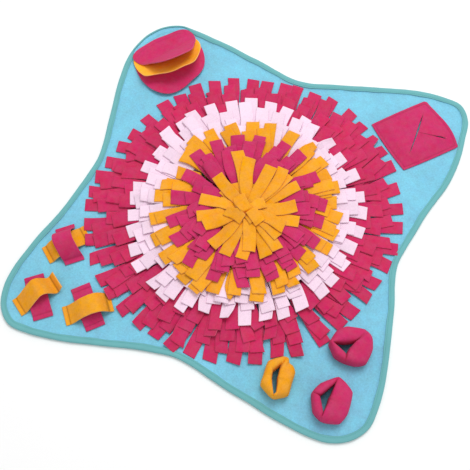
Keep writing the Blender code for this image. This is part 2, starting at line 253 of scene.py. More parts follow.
def grid_faces(rows, columns, wrap=False):
    """Faces of a grid of points; with wrap the last row joins the first."""
    index = np.arange(rows * columns).reshape(rows, columns)
    if wrap:
        index = closed(index)
    corners = (index[:-1, :-1], index[1:, :-1], index[1:, 1:], index[:-1, 1:])
    return np.stack(corners, axis=-1).reshape(-1, 4)


def fan_faces(middle, ring, flip=False):
    """Faces between a middle point and a ring round it; flip turns them over."""
    middles = np.full(len(ring), middle)
    following = np.roll(ring, -1)
    sides = (following, ring) if flip else (ring, following)
    return np.stack((middles, middles, *sides), axis=1)


def add_object(name, data):
    item = bpy.data.objects.new(name, data)
    bpy.context.scene.collection.objects.link(item)
    return item


class Cloth:
    """Closed sheets gathered into one mesh, with UVs in metres and two point attributes.

    shade makes the cloth lighter or darker, as a sheet's own tone and as painted shade and
    light.  edge is 1 along the middle of a cut edge.
    """

    def __init__(self):
        self.points, self.faces, self.uvs, self.shade, self.edge = [], [], [], [], []
        self.count = 0

    def add(self, points, faces, uvs, shade=0.0, edge=0.0):
        self.points.append(points)
        self.faces.append(faces + self.count)
        self.uvs.append(uvs)
        self.shade.append(np.broadcast_to(shade, len(points)))
        self.edge.append(np.broadcast_to(edge, len(points)))
        self.count += len(points)

    def add_sheet(self, points, faces, rim, uvs, thickness, shade=0.0):
        """Thicken an open sheet to both sides and close it with a rounded edge."""
        points = points.reshape(-1, 3)
        uvs = uvs.reshape(-1, 2)
        a, b, c, d = (points[faces[:, i]] for i in range(4))
        face_normals = np.cross(c - a, d - b)
        normals = np.zeros_like(points)
        for i in range(4):
            np.add.at(normals, faces[:, i], face_normals)
        normals = unit(normals)
        start, end = rim[:, 0], rim[:, 1]
        out = unit(np.cross(points[end] - points[start], normals[start] + normals[end]))
        outward = np.zeros_like(points)
        np.add.at(outward, start, out)
        np.add.at(outward, end, out)
        loop = np.unique(rim)
        bulge = points[loop] + unit(outward[loop]) * thickness * EDGE_ROUND
        half = normals * thickness / 2
        count = len(points)
        shade = np.broadcast_to(shade, count)
        middle_start = 2 * count + np.searchsorted(loop, start)
        middle_end = 2 * count + np.searchsorted(loop, end)
        upper = np.stack((end, start, middle_start, middle_end), axis=1)
        lower = np.stack((middle_end, middle_start, count + start, count + end), axis=1)
        self.add(
            np.concatenate((points + half, points - half, bulge)),
            np.concatenate((faces, faces[:, ::-1] + count, upper, lower)),
            np.concatenate((uvs, uvs, uvs[loop])),
            np.concatenate((shade, shade, shade[loop])),
            np.concatenate((np.zeros(2 * count), np.ones(len(loop)))),
        )

    def build(self, name, material, period=None):
        """Make the object; period is the length at which u starts again on a ring."""
        points = np.concatenate(self.points)
        faces = np.concatenate(self.faces)
        uvs = np.concatenate(self.uvs)
        mesh = bpy.data.meshes.new(name)
        mesh.from_pydata(points.tolist(), [], [tuple(dict.fromkeys(f)) for f in faces.tolist()])
        corner_points = np.empty(len(mesh.loops), dtype=np.int32)
        mesh.loops.foreach_get("vertex_index", corner_points)
        corners = uvs[corner_points]
        if period:
            corners = close_ring(mesh, corners, period)
        mesh.uv_layers.new(name="cloth").uv.foreach_set("vector", corners.ravel())
        for label, values in (("shade", self.shade), ("edge", self.edge)):
            attribute = mesh.attributes.new(label, "FLOAT", "POINT")
            attribute.data.foreach_set("value", np.concatenate(values))
        mesh.shade_smooth()
        mesh.materials.append(material)
        return add_object(name, mesh)


def close_ring(mesh, corners, period):
    """Let u run on past the end of a ring in the faces that join its last row to its first."""
    corners = corners.copy()
    for polygon in mesh.polygons:
        part = slice(polygon.loop_start, polygon.loop_start + polygon.loop_total)
        along = corners[part, 0]
        if along.max() - along.min() > period / 2:
            along[along < period / 2] += period
    return corners


def put_on(piece, slot, *nodes):
    """Fix a piece to the mat, in place of the frame's nodes it stands for."""
    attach(piece, "root")
    if nodes:
        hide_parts(*nodes)
    return piece


# ================ materials
class Shader:
    """A material's node tree, with short calls for its nodes."""

    def __init__(self, name):
        self.material = bpy.data.materials.new(name)
        self.material.use_nodes = True
        self.tree = self.material.node_tree
        self.surface = self.tree.nodes["Principled BSDF"]
        self.place = self.node("ShaderNodeTexCoord").outputs["Object"]

    def node(self, kind, inputs=None, **settings):
        node = self.tree.nodes.new(kind)
        for key, value in settings.items():
            setattr(node, key, value)
        for key, value in (inputs or {}).items():
            self.feed(node.inputs[key], value)
        return node

    def feed(self, socket, value):
        if isinstance(value, bpy.types.NodeSocket):
            self.tree.links.new(value, socket)
        else:
            socket.default_value = value

    def finish(self, inputs):
        """Set the surface's inputs and return the material."""
        for name, value in inputs.items():
            self.feed(self.surface.inputs[name], value)
        return self.material

    def noise(self, scale, detail=2.0, stretch=None):
        """Noise of about 1 / scale metres, from 0 to 1."""
        place = self.place
        if stretch:
            place = self.node("ShaderNodeMapping", {"Vector": place, "Scale": stretch}).outputs[0]
        inputs = {"Vector": place, "Scale": scale, "Detail": detail}
        return self.node("ShaderNodeTexNoise", inputs).outputs["Fac"]

    def bands(self, direction, pitch, **inputs):
        """Soft bands of the flat cloth, a pitch apart, from 0 to 1."""
        uv = self.node("ShaderNodeTexCoord").outputs["UV"]
        inputs.update({"Vector": uv, "Scale": BAND_LENGTH / pitch})
        return self.node("ShaderNodeTexWave", inputs, bands_direction=direction).outputs["Fac"]

    def math(self, operation, a, b):
        return self.node("ShaderNodeMath", {0: a, 1: b}, operation=operation).outputs[0]

    def swing(self, value, amount):
        """A value of 0 to 1 turned into one of -amount to amount."""
        return self.math("MULTIPLY", self.math("SUBTRACT", value, 0.5), 2.0 * amount)

    def total(self, first, *rest):
        for value in rest:
            first = self.math("ADD", first, value)
        return first

    def mix(self, factor, a, b):
        node = self.node("ShaderNodeMix", {0: factor, 6: a, 7: b}, data_type="RGBA")
        return node.outputs[2]

    def attribute(self, name):
        return self.node("ShaderNodeAttribute", attribute_name=name).outputs["Fac"]

    def bump(self, height, distance, strength, under=None):
        inputs = {"Height": height, "Distance": distance, "Strength": strength}
        if under is not None:
            inputs["Normal"] = under
        return self.node("ShaderNodeBump", inputs).outputs[0]

    def tint(self, colour, value, saturation=1.0, hue=0.5):
        """The colour with its lightness times value."""
        inputs = {"Hue": hue, "Value": value, "Saturation": saturation, "Color": (*colour, 1.0)}
        return self.node("ShaderNodeHueSaturation", inputs).outputs[0]


def paler(colour, share):
    """The colour mixed with white, as red, green, blue and alpha."""
    return (*(part + (1.0 - part) * share for part in colour), 1.0)


def fleece(name, colour, cloud=0.09, nap=0.12, edge_light=0.30, sheen=0.12):
    """Brushed fleece: cloudy colour, a short felted nap, odd pills and paler cut edges."""
    shader = Shader(name)
    clouds = shader.noise(16.0, 3.0)
    patches = shader.noise(110.0, 3.0)
    grain = shader.noise(330.0)
    naps = shader.noise(620.0, 4.0)
    fibres_a = shader.noise(380.0, 3.0, stretch=(1.0, 6.0, 3.0))
    fibres_b = shader.noise(380.0, 3.0, stretch=(6.0, 1.0, 3.0))
    fibres = shader.math("MAXIMUM", fibres_a, fibres_b)
    value = shader.total(
        1.0,
        shader.swing(clouds, cloud),
        shader.swing(patches, cloud),
        shader.swing(grain, nap),
        shader.swing(naps, nap),
        shader.swing(fibres, nap),
        # shade: each sheet's own tone, plus painted shade at seams and in the rolled pockets'
        # mouths and painted light on covered flaps
        shader.math("MULTIPLY", shader.attribute("shade"), SHADE_STEP),
    )
    saturation = shader.total(1.0, shader.swing(patches, 0.06))
    hue = shader.total(0.5, shader.swing(shader.noise(60.0), 0.010))
    cloth = shader.tint(colour, value, saturation, hue)
    cut = shader.math("MULTIPLY", shader.attribute("edge"), edge_light)
    pills = shader.node("ShaderNodeTexVoronoi", {"Vector": shader.place, "Scale": 240.0})
    pill = shader.math("LESS_THAN", pills.outputs["Distance"], 0.16)
    nap_bump = shader.bump(shader.total(naps, fibres), 0.35 * MM, 0.55)
    return shader.finish({
        "Base Color": shader.mix(cut, cloth, paler(colour, 0.35)),
        "Roughness": shader.total(0.90, shader.swing(naps, 0.08)),
        "Normal": shader.bump(pill, 0.10 * MM, 0.3, nap_bump),
        "Specular IOR Level": 0.12,
        "Sheen Weight": sheen,
        "Sheen Roughness": 0.55,
        "Sheen Tint": paler(colour, 0.5),
    })


def binding_tape(name, colour):
    """Ribbed polyester tape: fine ribs across it, wavering a little, with cloudy colour."""
    shader = Shader(name)
    ribs = shader.bands("X", 0.9 * MM, Distortion=0.6, Detail=1.0)
    picks = shader.bands("Y", 1.4 * MM, Distortion=0.4, Detail=1.0)
    depth = shader.total(0.5, shader.math("MULTIPLY", picks, 0.5))
    weave = shader.math("MULTIPLY", ribs, depth)
    clouds = shader.noise(45.0, 3.0)
    value = shader.total(0.97, shader.swing(clouds, 0.08), shader.math("MULTIPLY", weave, 0.08))
    return shader.finish({
        "Base Color": shader.tint(colour, value),
        "Roughness": shader.total(0.74, shader.swing(clouds, 0.1)),
        "Normal": shader.bump(weave, 0.18 * MM, 0.6),
        "Specular IOR Level": 0.25,
        "Sheen Weight": 0.1,
    })


def sewing_thread(name, colour):
    """Spun thread: its two plies show as slanting bands along each stitch."""
    shader = Shader(name)
    plies = shader.bands("DIAGONAL", 0.7 * MM, Distortion=0.5)
    clouds = shader.swing(shader.noise(60.0), 0.06)
    value = shader.total(0.92, shader.math("MULTIPLY", plies, 0.16), clouds)
    return shader.finish({
        "Base Color": shader.tint(colour, value),
        "Roughness": shader.total(0.62, shader.swing(plies, 0.08)),
        "Normal": shader.bump(plies, 0.08 * MM, 0.5),
        "Specular IOR Level": 0.3,
    })


FLEECE = {
    "blue_fleece": fleece("blue_fleece", BLUE, cloud=0.15, nap=0.15, sheen=0.08),
    "crimson_fleece": fleece("crimson_fleece", CRIMSON),
    "magenta_fleece": fleece("magenta_fleece", MAGENTA, sheen=0.06),
    "pink_fleece": fleece("pink_fleece", PINK, cloud=0.05, nap=0.07, sheen=0.08),
    "amber_fleece": fleece("amber_fleece", AMBER, cloud=0.07, edge_light=0.54, sheen=0.08),
}
TAPE = binding_tape("teal_tape", TEAL)
THREAD = {
    "teal_tape": sewing_thread("teal_thread", (0.10, 0.42, 0.42)),
    "magenta_fleece": sewing_thread("magenta_thread", (0.50, 0.03, 0.11)),
    "amber_fleece": sewing_thread("amber_thread", (0.62, 0.20, 0.02)),
}


# ================ camera, lights and floor
def add_camera():
    """A camera at the photograph's angle."""
    level = math.cos(CAMERA_ELEVATION)
    away = Vector((
        math.sin(CAMERA_AZIMUTH) * level,
        -math.cos(CAMERA_AZIMUTH) * level,
        math.sin(CAMERA_ELEVATION),
    ))
    data = bpy.data.cameras.new("camera")
    data.lens = CAMERA_LENS
    data.sensor_width = CAMERA_SENSOR
    camera = add_object("camera", data)
    camera.location = CAMERA_TARGET + away * CAMERA_DISTANCE
    camera.rotation_euler = away.to_track_quat("Z", "Y").to_euler()
    bpy.context.scene.camera = camera


def add_light():
    """A soft key light high up behind the mat, and a white sky."""
    data = bpy.data.lights.new("key", "AREA")
    data.shape = "DISK"
    data.size = KEY_SIZE
    data.energy = KEY_POWER
    key = add_object("key", data)
    key.location = KEY_PLACE
    key.rotation_euler = Vector(KEY_PLACE).to_track_quat("Z", "Y").to_euler()
    world = bpy.data.worlds.new("sky")
    world.use_nodes = True
    background = world.node_tree.nodes["Background"]
    background.inputs["Color"].default_value = (1.0, 1.0, 1.0, 1.0)
    background.inputs["Strength"].default_value = SKY_STRENGTH
    bpy.context.scene.world = world
    bpy.context.scene.view_settings.view_transform = "Standard"


def add_floor():
    bpy.ops.mesh.primitive_plane_add(size=FLOOR_SIZE, location=(0.0, 0.0, -FLOOR_DROP))
    floor = bpy.context.active_object
    floor.name = "floor"
    shader = Shader("floor")
    floor.data.materials.append(shader.finish({"Base Color": FLOOR_COLOUR, "Roughness": 0.9}))


# ================ base panel and its edge
OUTLINE_REFINE = 10             # fine stations for each station of the frame's outline
OUTLINE_POINTS = 720
TAPE_WIDTH = 10.5 * MM
TAPE_CLOTH = 1.0 * MM
TAPE_UPPER = 4.0                # the tape's points above this height in mm are its upper side
TAPE_PROFILE = (
    # distance in from the mat's edge and height of the middle of the tape, mm
    (9.6, 0.5), (7.0, 0.5), (3.5, 0.5), (1.5, 0.55), (0.75, 1.0), (0.5, 2.0), (0.5, 3.6),
    (0.8, 4.6), (1.7, 5.15), (3.2, 5.3), (4.8, 5.3), (6.0, 5.1), (6.9, 4.8), (7.8, 5.0),
    (9.0, 5.2),
)
STITCH_INSET = 6.9 * MM         # of the tape's stitches from the mat's edge
STITCH_LEVEL = 5.42 * MM
ROLLED_CORNER = (123.5, 127.5, 142.5, 146.5)    # bearings where the tape is rolled under
ROLLED_SHARE = 0.28             # how much of the tape's upper side still shows there
DRAWN_CORNER = (112.0, 132.0, 139.0, 154.0)     # bearings where the edge is drawn in with it
DRAWN_IN = 4.5 * MM
BASE_RINGS = 34
BASE_EDGE_STEPS = (
    # distance in from the mat's edge, height of the top and of the underside, mm
    (16.0, 3.0, 0.0), (12.0, 3.0, 0.0), (10.9, 3.35, 0.3), (9.8, 3.95, 0.95), (8.8, 4.22, 1.3),
    (6.9, 4.15, 1.3), (4.5, 4.3, 1.3), (1.3, 4.3, 1.3),
)
PAINTED_MOUTH_SHADE = 10.0                   # painted shade: how dark the base is in the rolled pockets' mouths
PAINTED_MOUTH_SHADE_REACH = 16.0 * MM


def node_points(name):
    """A frame node's vertices, without repeats, as an array."""
    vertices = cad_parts[name].data.vertices
    points = np.empty(3 * len(vertices))
    vertices.foreach_get("co", points)
    return np.unique(points.reshape(-1, 3).round(6), axis=0)


def frame_outline():
    """The mat's outline at the frame's stations: the outer loop of the tape's lowest face."""
    points = node_points("edge_binding")
    points = points[points[:, 2] < 0.2 * MM, :2]
    apart = np.linalg.norm(points[:, None] - points[None], axis=-1)
    np.fill_diagonal(apart, np.inf)
    partner = points[apart.argmin(axis=1)]
    outer = points[np.linalg.norm(points, axis=1) > np.linalg.norm(partner, axis=1)]
    return outer[np.argsort(np.arctan2(outer[:, 1], outer[:, 0]))]


def smooth_loop(points, steps):
    """A smooth closed curve through the points, with steps points for each of them."""
    before, after = np.roll(points, 1, axis=0), np.roll(points, -1, axis=0)
    beyond = np.roll(points, -2, axis=0)
    t = np.arange(steps)[None, :, None] / steps
    p0, p1, p2, p3 = (p[:, None] for p in (before, points, after, beyond))
    curve = 2 * p1 + (p2 - p0) * t + (2 * p0 - 5 * p1 + 4 * p2 - p3) * t**2
    curve = (curve + (3 * p1 - p0 - 3 * p2 + p3) * t**3) / 2
    return curve.reshape(-1, 2)


def even_loop(points, count):
    """Points spaced evenly along a closed curve, and its length."""
    ring = closed(points)
    lengths = lengths_along(ring)
    marks = np.arange(count) / count * lengths[-1]
    return np.stack([np.interp(marks, lengths, ring[:, i]) for i in (0, 1)], axis=1), lengths[-1]


def inward_normals(loop):
    return left_of(unit(np.roll(loop, -1, axis=0) - np.roll(loop, 1, axis=0)))


def smooth_step(values, low, high):
    t = np.clip((values - low) / (high - low), 0.0, 1.0)
    return t * t * (3.0 - 2.0 * t)


def within(loop, bearings):
    """1 where a loop's bearing lies between the middle two bearings, fading to the outer two."""
    turn = np.degrees(np.arctan2(loop[:, 1], loop[:, 0]))
    return smooth_step(turn, *bearings[:2]) * (1.0 - smooth_step(turn, *bearings[2:]))


def mat_outline():
    """The mat's edge as evenly spaced points, and its length."""
    loop = smooth_loop(frame_outline(), OUTLINE_REFINE)
    loop = loop + inward_normals(loop) * (DRAWN_IN * within(loop, DRAWN_CORNER))[:, None]
    return even_loop(loop, OUTLINE_POINTS)


OUTLINE, OUTLINE_LENGTH = mat_outline()
OUTLINE_INWARD = inward_normals(OUTLINE)
OUTLINE_MARKS = np.arange(len(OUTLINE)) / len(OUTLINE) * OUTLINE_LENGTH
TAPE_SHOWN = 1.0 - (1.0 - ROLLED_SHARE) * within(OUTLINE, ROLLED_CORNER)


def outline_wave(count, phase, size):
    """A small wave with a whole number of turns round the outline."""
    return size * np.sin(2 * math.pi * count * OUTLINE_MARKS / OUTLINE_LENGTH + phase)


def base_height(x, y):
    """Height of the base's top: slightly cushioned."""
    ripple = np.sin(x * 61.0 + 1.0) * np.sin(y * 53.0 + 2.0) + np.sin((x + y) * 37.0)
    return BASE_TOP + (0.18 * ripple - 0.1) * MM


def ring_grid(insets, heights):
    """Points round the outline, at distances in from it and heights."""
    rings = [raised(OUTLINE + OUTLINE_INWARD * inset, height)
             for inset, height in zip(insets, heights)]
    return np.stack(rings, axis=1)


def base_side(insets, heights):
    """Rings of one side of the base, from near its middle to its edge."""
    edge = ring_grid(insets, heights)
    shares = np.linspace(0.0, 1.0, BASE_RINGS, endpoint=False)[1:] ** 0.8
    return np.concatenate((edge[:, :1] * shares[None, :, None], edge), axis=1)


def painted_mouth_shade(points):
    """Painted shade of the base: dark in the rolled pockets' mouths."""
    shade = np.zeros(len(points))
    for *_, mouth, _ in ROLLS:
        apart = np.linalg.norm(points[:, :2] - np.mean(mouth, axis=0) * MM, axis=1)
        shade -= PAINTED_MOUTH_SHADE * np.exp(-((apart / PAINTED_MOUTH_SHADE_REACH) ** 2))
    return shade


def build_base():
    """One thick sheet: its top and underside meet at its edge, inside the tape."""
    insets, tops, unders = (np.array(column) * MM for column in zip(*BASE_EDGE_STEPS))
    top, under = base_side(insets, tops), base_side(insets, unders)
    flat = slice(0, BASE_RINGS)
    top[:, flat, 2] = base_height(top[:, flat, 0], top[:, flat, 1])
    under[:, flat, 2] = 0.0
    rounds = np.concatenate((top, under[:, ::-1]), axis=1)
    stations, columns = rounds.shape[:2]
    points = np.vstack((rounds.reshape(-1, 3), [[0.0, 0.0, BASE_TOP], [0.0, 0.0, 0.0]]))
    middle = stations * columns
    first = np.arange(stations) * columns
    faces = np.concatenate((
        grid_faces(stations, columns, wrap=True)[:, ::-1],
        fan_faces(middle, first),
        fan_faces(middle + 1, first + columns - 1, flip=True),
    ))
    cloth = Cloth()
    # the base's shade: painted shade in the rolled pockets' mouths
    cloth.add(points, faces, points[:, :2], painted_mouth_shade(points))
    base = put_on(cloth.build("base_cloth", FLEECE["blue_fleece"]), "blue_fleece", "base_panel")


def build_tape():
    """The folded binding: a puffy ribbon pressed down along its stitches."""
    ripple = outline_wave(61, 0.3, 0.25) + outline_wave(23, 1.1, 0.35)
    puff = outline_wave(97, 0.8, 0.10) + outline_wave(41, 2.0, 0.12)
    rows = []
    for inset, height in TAPE_PROFILE:
        reach = np.full(OUTLINE_POINTS, inset)
        if height > TAPE_UPPER:
            share = inset * MM / TAPE_WIDTH
            reach = inset * TAPE_SHOWN + ripple * share
            height = height + puff * (1.0 - share)
        plan = OUTLINE + OUTLINE_INWARD * (reach * MM)[:, None]
        rows.append(raised(plan, height * MM))
    grid = np.stack(rows, axis=1)
    across = lengths_across(grid)
    faces = grid_faces(*grid.shape[:2], wrap=True)
    cloth = Cloth()
    cloth.add_sheet(grid, faces, rim_edges(faces), flat_places(OUTLINE_MARKS, across), TAPE_CLOTH)
    tape = put_on(cloth.build("edge_tape", TAPE, OUTLINE_LENGTH), "teal_tape", "edge_binding")


# ================ rosette of strips
class Pile:
    """Height of what lies on the mat, on a map of small squares."""

    def __init__(self):
        self.size = int(2 * PILE_REACH / PILE_STEP)
        self.top = np.full((self.size, self.size), BASE_TOP)

    def cells(self, points):
        cells = ((points[..., :2] + PILE_REACH) / PILE_STEP).astype(int)
        return cells.clip(PILE_MARGIN, self.size - 1 - PILE_MARGIN)

    def under(self, points, reach):
        """The highest point of the pile within reach squares of each point."""
        cells = self.cells(points)
        steps = range(-reach, reach + 1)
        heights = [self.top[cells[..., 0] + i, cells[..., 1] + j] for i in steps for j in steps]
        return np.max(heights, axis=0)

    def lay(self, grid, thickness):
        """Add a sheet, given by its grid of middle points."""
        fine = grid
        for axis, samples in enumerate(LAY_SAMPLES):
            count = grid.shape[axis]
            fine = between(fine, np.linspace(0, count - 1, count * samples), axis)
        cells = self.cells(fine).reshape(-1, 2)
        heights = fine[..., 2].ravel() + thickness / 2
        np.maximum.at(self.top, (cells[:, 0], cells[:, 1]), heights)


def between(grid, places, axis=0):
    """Values of a grid at places between its rows or columns."""
    low = np.clip(places.astype(int), 0, grid.shape[axis] - 2)
    share = (places - low).reshape([-1 if i == axis else 1 for i in range(grid.ndim)])
    return grid.take(low, axis) * (1.0 - share) + grid.take(low + 1, axis) * share


def smoothed(heights, rounds, floor):
    """Even out a grid of heights without sinking below the floor."""
    for _ in range(rounds):
        padded = np.pad(heights, 1, mode="edge")
        along = (padded[:-2, 1:-1] + padded[2:, 1:-1]) / 2
        across = (padded[1:-1, :-2] + padded[1:-1, 2:]) / 2
        heights = np.maximum(0.45 * heights + 0.35 * along + 0.20 * across, floor)
    return heights


def polar(radius, degrees):
    """Places in plan at a distance and a bearing from the middle, or at many of them."""
    bearing = np.radians(degrees)
    return np.stack((radius * np.cos(bearing), radius * np.sin(bearing)), axis=-1)


def bearing_of(origin, point):
    """Bearing in degrees of a point as seen from the origin."""
    return math.degrees(math.atan2(*(point - origin)[::-1]))


class Strip:
    """One end of a strip: where it is sewn, where it folds over, where its tip is, how it lies."""

    def __init__(self, root, fold, tip, width, fold_width, height, slope):
        self.root, self.fold, self.tip = root, fold, tip
        self.width, self.fold_width = width, fold_width
        self.height, self.slope = height, slope
        self.droop = rng.uniform(*DROOP) * MM
        self.bow = rng.normal(0.0, BOW_SPREAD) * MM
        self.cup = rng.normal(0.0, CUP_SPREAD) * MM
        self.twist = math.radians(rng.normal(0.0, TWIST_SPREAD))
        self.slant = math.tan(math.radians(rng.normal(0.0, SLANT_SPREAD)))
        self.shade = rng.uniform(-1.0, 1.0)
        self.point = 1.0        # width of the cut end, as a share of the strip's
        self.depth = None       # how far down the strip goes from its fold, if not to its seam

    def ruffle(self, times):
        """Make the strip lie less flat."""
        self.twist *= times
        self.bow *= (times + 1.0) / 2.0
        self.cup *= times

    def blade(self):
        """Middle points from the fold to the tip, at the row's height, before they settle."""
        out = unit(self.tip - self.root)
        start = self.fold + out * BEND_RADIUS
        length = np.linalg.norm(self.tip - start)
        along = (self.tip - start) / length
        across = left_of(along)
        shares = np.append(np.linspace(0.0, 1.0 - BLADE_END / length, BLADE_ROWS), 1.0)
        line = start + along * (length * shares)[:, None]
        line = line + across * (self.bow * np.sin(math.pi * shares * 0.9))[:, None]
        widths = (self.fold_width, self.width, self.width, self.width * self.point)
        width = np.interp(shares, (0.0, 0.4, 0.75, 1.0), widths)
        side = COLUMNS[None, :] * width[:, None] / 2
        turn = self.twist * shares**1.5
        plan = line[:, None] + across * (side * np.cos(turn)[:, None])[..., None]
        plan = plan + along * (self.slant * side * shares[:, None] ** 6)[..., None]
        middle = self.height + self.slope * length * (1.0 - shares) - self.droop * shares**2
        lift = np.abs(np.sin(turn)) * width / 2
        heights = (middle + lift)[:, None] + side * np.sin(turn)[:, None]
        heights = heights + self.cup * (COLUMNS[None, :] ** 2) * shares[:, None]
        return raised(plan, heights)

    def settle(self, pile):
        """The blade, lying on the pile where the pile is higher."""
        blade = self.blade()
        rest = STRIP_CLOTH / 2 + LAY_GAP
        floor = pile.under(blade, 1) + rest
        floor[:, 1:-1] = np.maximum(floor[:, 1:-1], (pile.under(blade, 2) + rest)[:, 1:-1])
        heights = np.maximum(blade[..., 2], floor)
        blade[..., 2] = smoothed(heights, 10, floor)
        pile.lay(blade, STRIP_CLOTH)
        return blade

    def stem(self, blade):
        """Points from the root up to the blade, round a small bend."""
        out = unit(self.tip - self.root)
        top = blade[0, :, 2].mean()
        foot = BASE_TOP + STRIP_CLOTH / 2 + LAY_GAP
        if self.depth:
            foot = top - self.depth
        radius = min(BEND_RADIUS, (top - foot) * 0.45)
        rise = top - radius - foot
        places = [(self.root + (self.fold - self.root) * share, foot + rise * share)
                  for share in np.linspace(0.0, 1.0, STEM_ROWS)]
        for share in np.arange(1, BEND_ROWS) / BEND_ROWS:
            angle = math.pi / 2 * share
            plan = self.fold + out * BEND_RADIUS * (1 - math.cos(angle))
            places.append((plan, top - radius * (1 - math.sin(angle))))
        side = left_of(out) * (COLUMNS[:, None] * self.fold_width / 2)
        return np.stack([raised(plan + side, height) for plan, height in places])

    def add_to(self, cloth, pile, faces, rim):
        """Lay the strip on the pile, add it to the row's cloth and return its area."""
        blade = self.settle(pile)
        grid = np.concatenate((self.stem(blade), blade))
        along = lengths_along(grid[:, len(COLUMNS) // 2])
        uvs = flat_places(along, COLUMNS * self.width / 2)
        cloth.add_sheet(grid, faces, rim, uvs, STRIP_CLOTH, self.shade)
        return self.width * (along[-1] - along[STEM_ROWS]) + self.fold_width * along[STEM_ROWS]


def even_bearings(count, offset=0.0):
    return offset + 360.0 * np.arange(count) / count


def read_tips(count, tips):
    """Bearings and radii of a row's lower ends, spread about evenly if only a radius is known."""
    if isinstance(tips, tuple):
        return np.array(tips, dtype=float).T
    bearings = even_bearings(count, 0.3 * 360.0 / count) + rng.normal(0.0, 1.0, count)
    radii = tips + 3.0 * np.cos(np.radians(2 * (bearings - 37.0))) + rng.normal(0.0, 2.0, count)
    return bearings, radii


def row_strips(count, fold, height, slope, shorter, shifts, tips):
    """The lower and the upper ends of a row, folded over the same seam."""
    bearings, radii = read_tips(count, tips)
    pitch = 360.0 / count
    roots = even_bearings(count, np.mean(bearings - even_bearings(count)))
    lower, upper = [], []
    for root, bearing, radius in zip(roots, bearings, radii):
        shift = rng.uniform(*shifts) * pitch
        cut = shorter + rng.normal(0.0, CUT_SPREAD)
        for ends, turn, reach, inset, step in (
            (lower, 0.0, radius, 0.0, -LAYER_STEP),
            (upper, shift, radius - cut, UPPER_STEP, LAYER_STEP),
        ):
            fold_radius = fold * MM - inset
            width = STRIP_WIDTH * rng.uniform(*WIDTHS)
            room = math.radians(pitch) * (fold_radius - ROOT_STEP) - SIDE_GAP
            ends.append(Strip(
                polar(fold_radius - ROOT_STEP, root), polar(fold_radius, root),
                polar(reach * MM, bearing + turn), width, min(width, room),
                height * MM + step, slope,
            ))
            if RUFFLED[0] < bearing < RUFFLED[1]:
                ends[-1].ruffle(RUFFLE)
    return lower, upper


def wide_spaces(tips):
    """Middle bearings of the wide spaces between a row's ends, and the radius there."""
    bearings, radii = np.array(tips, dtype=float).T
    spaces = np.diff(np.append(bearings, bearings[0] + 360.0))
    wide = spaces > GAP_LIMIT * 360.0 / len(tips)
    return list(zip((bearings + spaces / 2.0)[wide], radii[wide]))


def gap_strips(fold, height, slope):
    """Ends below a row: in its own wide spaces, and in those of the row nearer the middle."""
    places = [(bearing, radius - GAP_SHORTER, fold - GAP_FOLD)
              for bearing, radius in wide_spaces(AMBER_1_TIPS)]
    places += [(bearing, INNER_TIP, INNER_FOLD) for bearing, _ in wide_spaces(MAGENTA_1_TIPS)]
    ends = []
    for bearing, radius, fold_radius in places:
        ends.append(Strip(
            polar(fold_radius * MM - ROOT_STEP, bearing), polar(fold_radius * MM, bearing),
            polar((radius + rng.normal(0.0, 3.0)) * MM, bearing), STRIP_WIDTH,
            0.6 * STRIP_WIDTH, height * MM - 2.5 * LAYER_STEP, slope,
        ))
    return ends


def centre_strips():
    """The middle of the rosette: single ends round the hub, the longer ones lower."""
    ends = []
    for order, (bearing, radius) in enumerate(sorted(CENTRE_TIPS, key=lambda tip: -tip[1])):
        tip = polar(radius * MM, bearing)
        towards = bearing_of(HUB, tip)
        half = int(order >= len(CENTRE_TIPS) / 2)
        root_radius, fold_radius = HUB_ROOTS[half], HUB_FOLDS[half]
        width = STRIP_WIDTH * rng.uniform(*HUB_WIDTHS)
        room = 2 * math.pi * root_radius / (len(CENTRE_TIPS) / 2) - SIDE_GAP
        ends.append(Strip(
            polar(root_radius, towards), HUB + polar(fold_radius, towards), tip,
            width, min(width, max(room, HUB_WIDTH)), HUB_HEIGHT, HUB_SLOPE,
        ))
        ends[-1].ruffle(HUB_RUFFLE)
    return ends


def under_strips():
    """Shorter ends that fill the spaces between the middle ones."""
    ends = []
    for bearing in even_bearings(UNDER_COUNT, 5.0):
        towards = bearing + rng.normal(0.0, 3.0)
        ends.append(Strip(
            polar(UNDER_ROOT, towards), HUB + polar(HUB_FOLDS[0], towards),
            UNDER_HUB + polar((UNDER_RADIUS + rng.normal(0.0, 2.0)) * MM, towards),
            STRIP_WIDTH, 0.5 * STRIP_WIDTH, HUB_HEIGHT - 3.0 * LAYER_STEP, HUB_SLOPE,
        ))
    return ends


def crown_strips():
    """Short ends that cross over the middle."""
    ends = []
    for start, tip, width, lift, depth in CROWN_ENDS:
        start, tip = metres(start), metres(tip)
        towards = bearing_of(start, tip)
        end = Strip(
            start - polar(CROWN_ROOT, towards), start, tip, width * MM, 0.92 * width * MM,
            lift * MM, 0.0,
        )
        end.depth = depth * MM
        ends.append(end)
    return ends


def add_row(node, slot, layers, pile):
    """Lay a row's ends layer by layer and join them into the piece for its node."""
    faces = grid_faces(STEM_ROWS + BEND_ROWS + BLADE_ROWS, len(COLUMNS))
    rim = rim_edges(faces)
    cloth = Cloth()
    area = sum(end.add_to(cloth, pile, faces, rim) for ends in layers for end in ends)
    piece = put_on(cloth.build(node.replace("fringe", "strips"), FLEECE[slot]), slot, node)


def make_unruly(node, layers):
    """Turn, bend or point the few strips that don't lie flat."""
    for row, layer, index, twist, bow, point in UNRULY:
        if row == node:
            end = layers[layer][index]
            end.twist = math.radians(twist)
            end.bow = bow * MM
            end.point = point


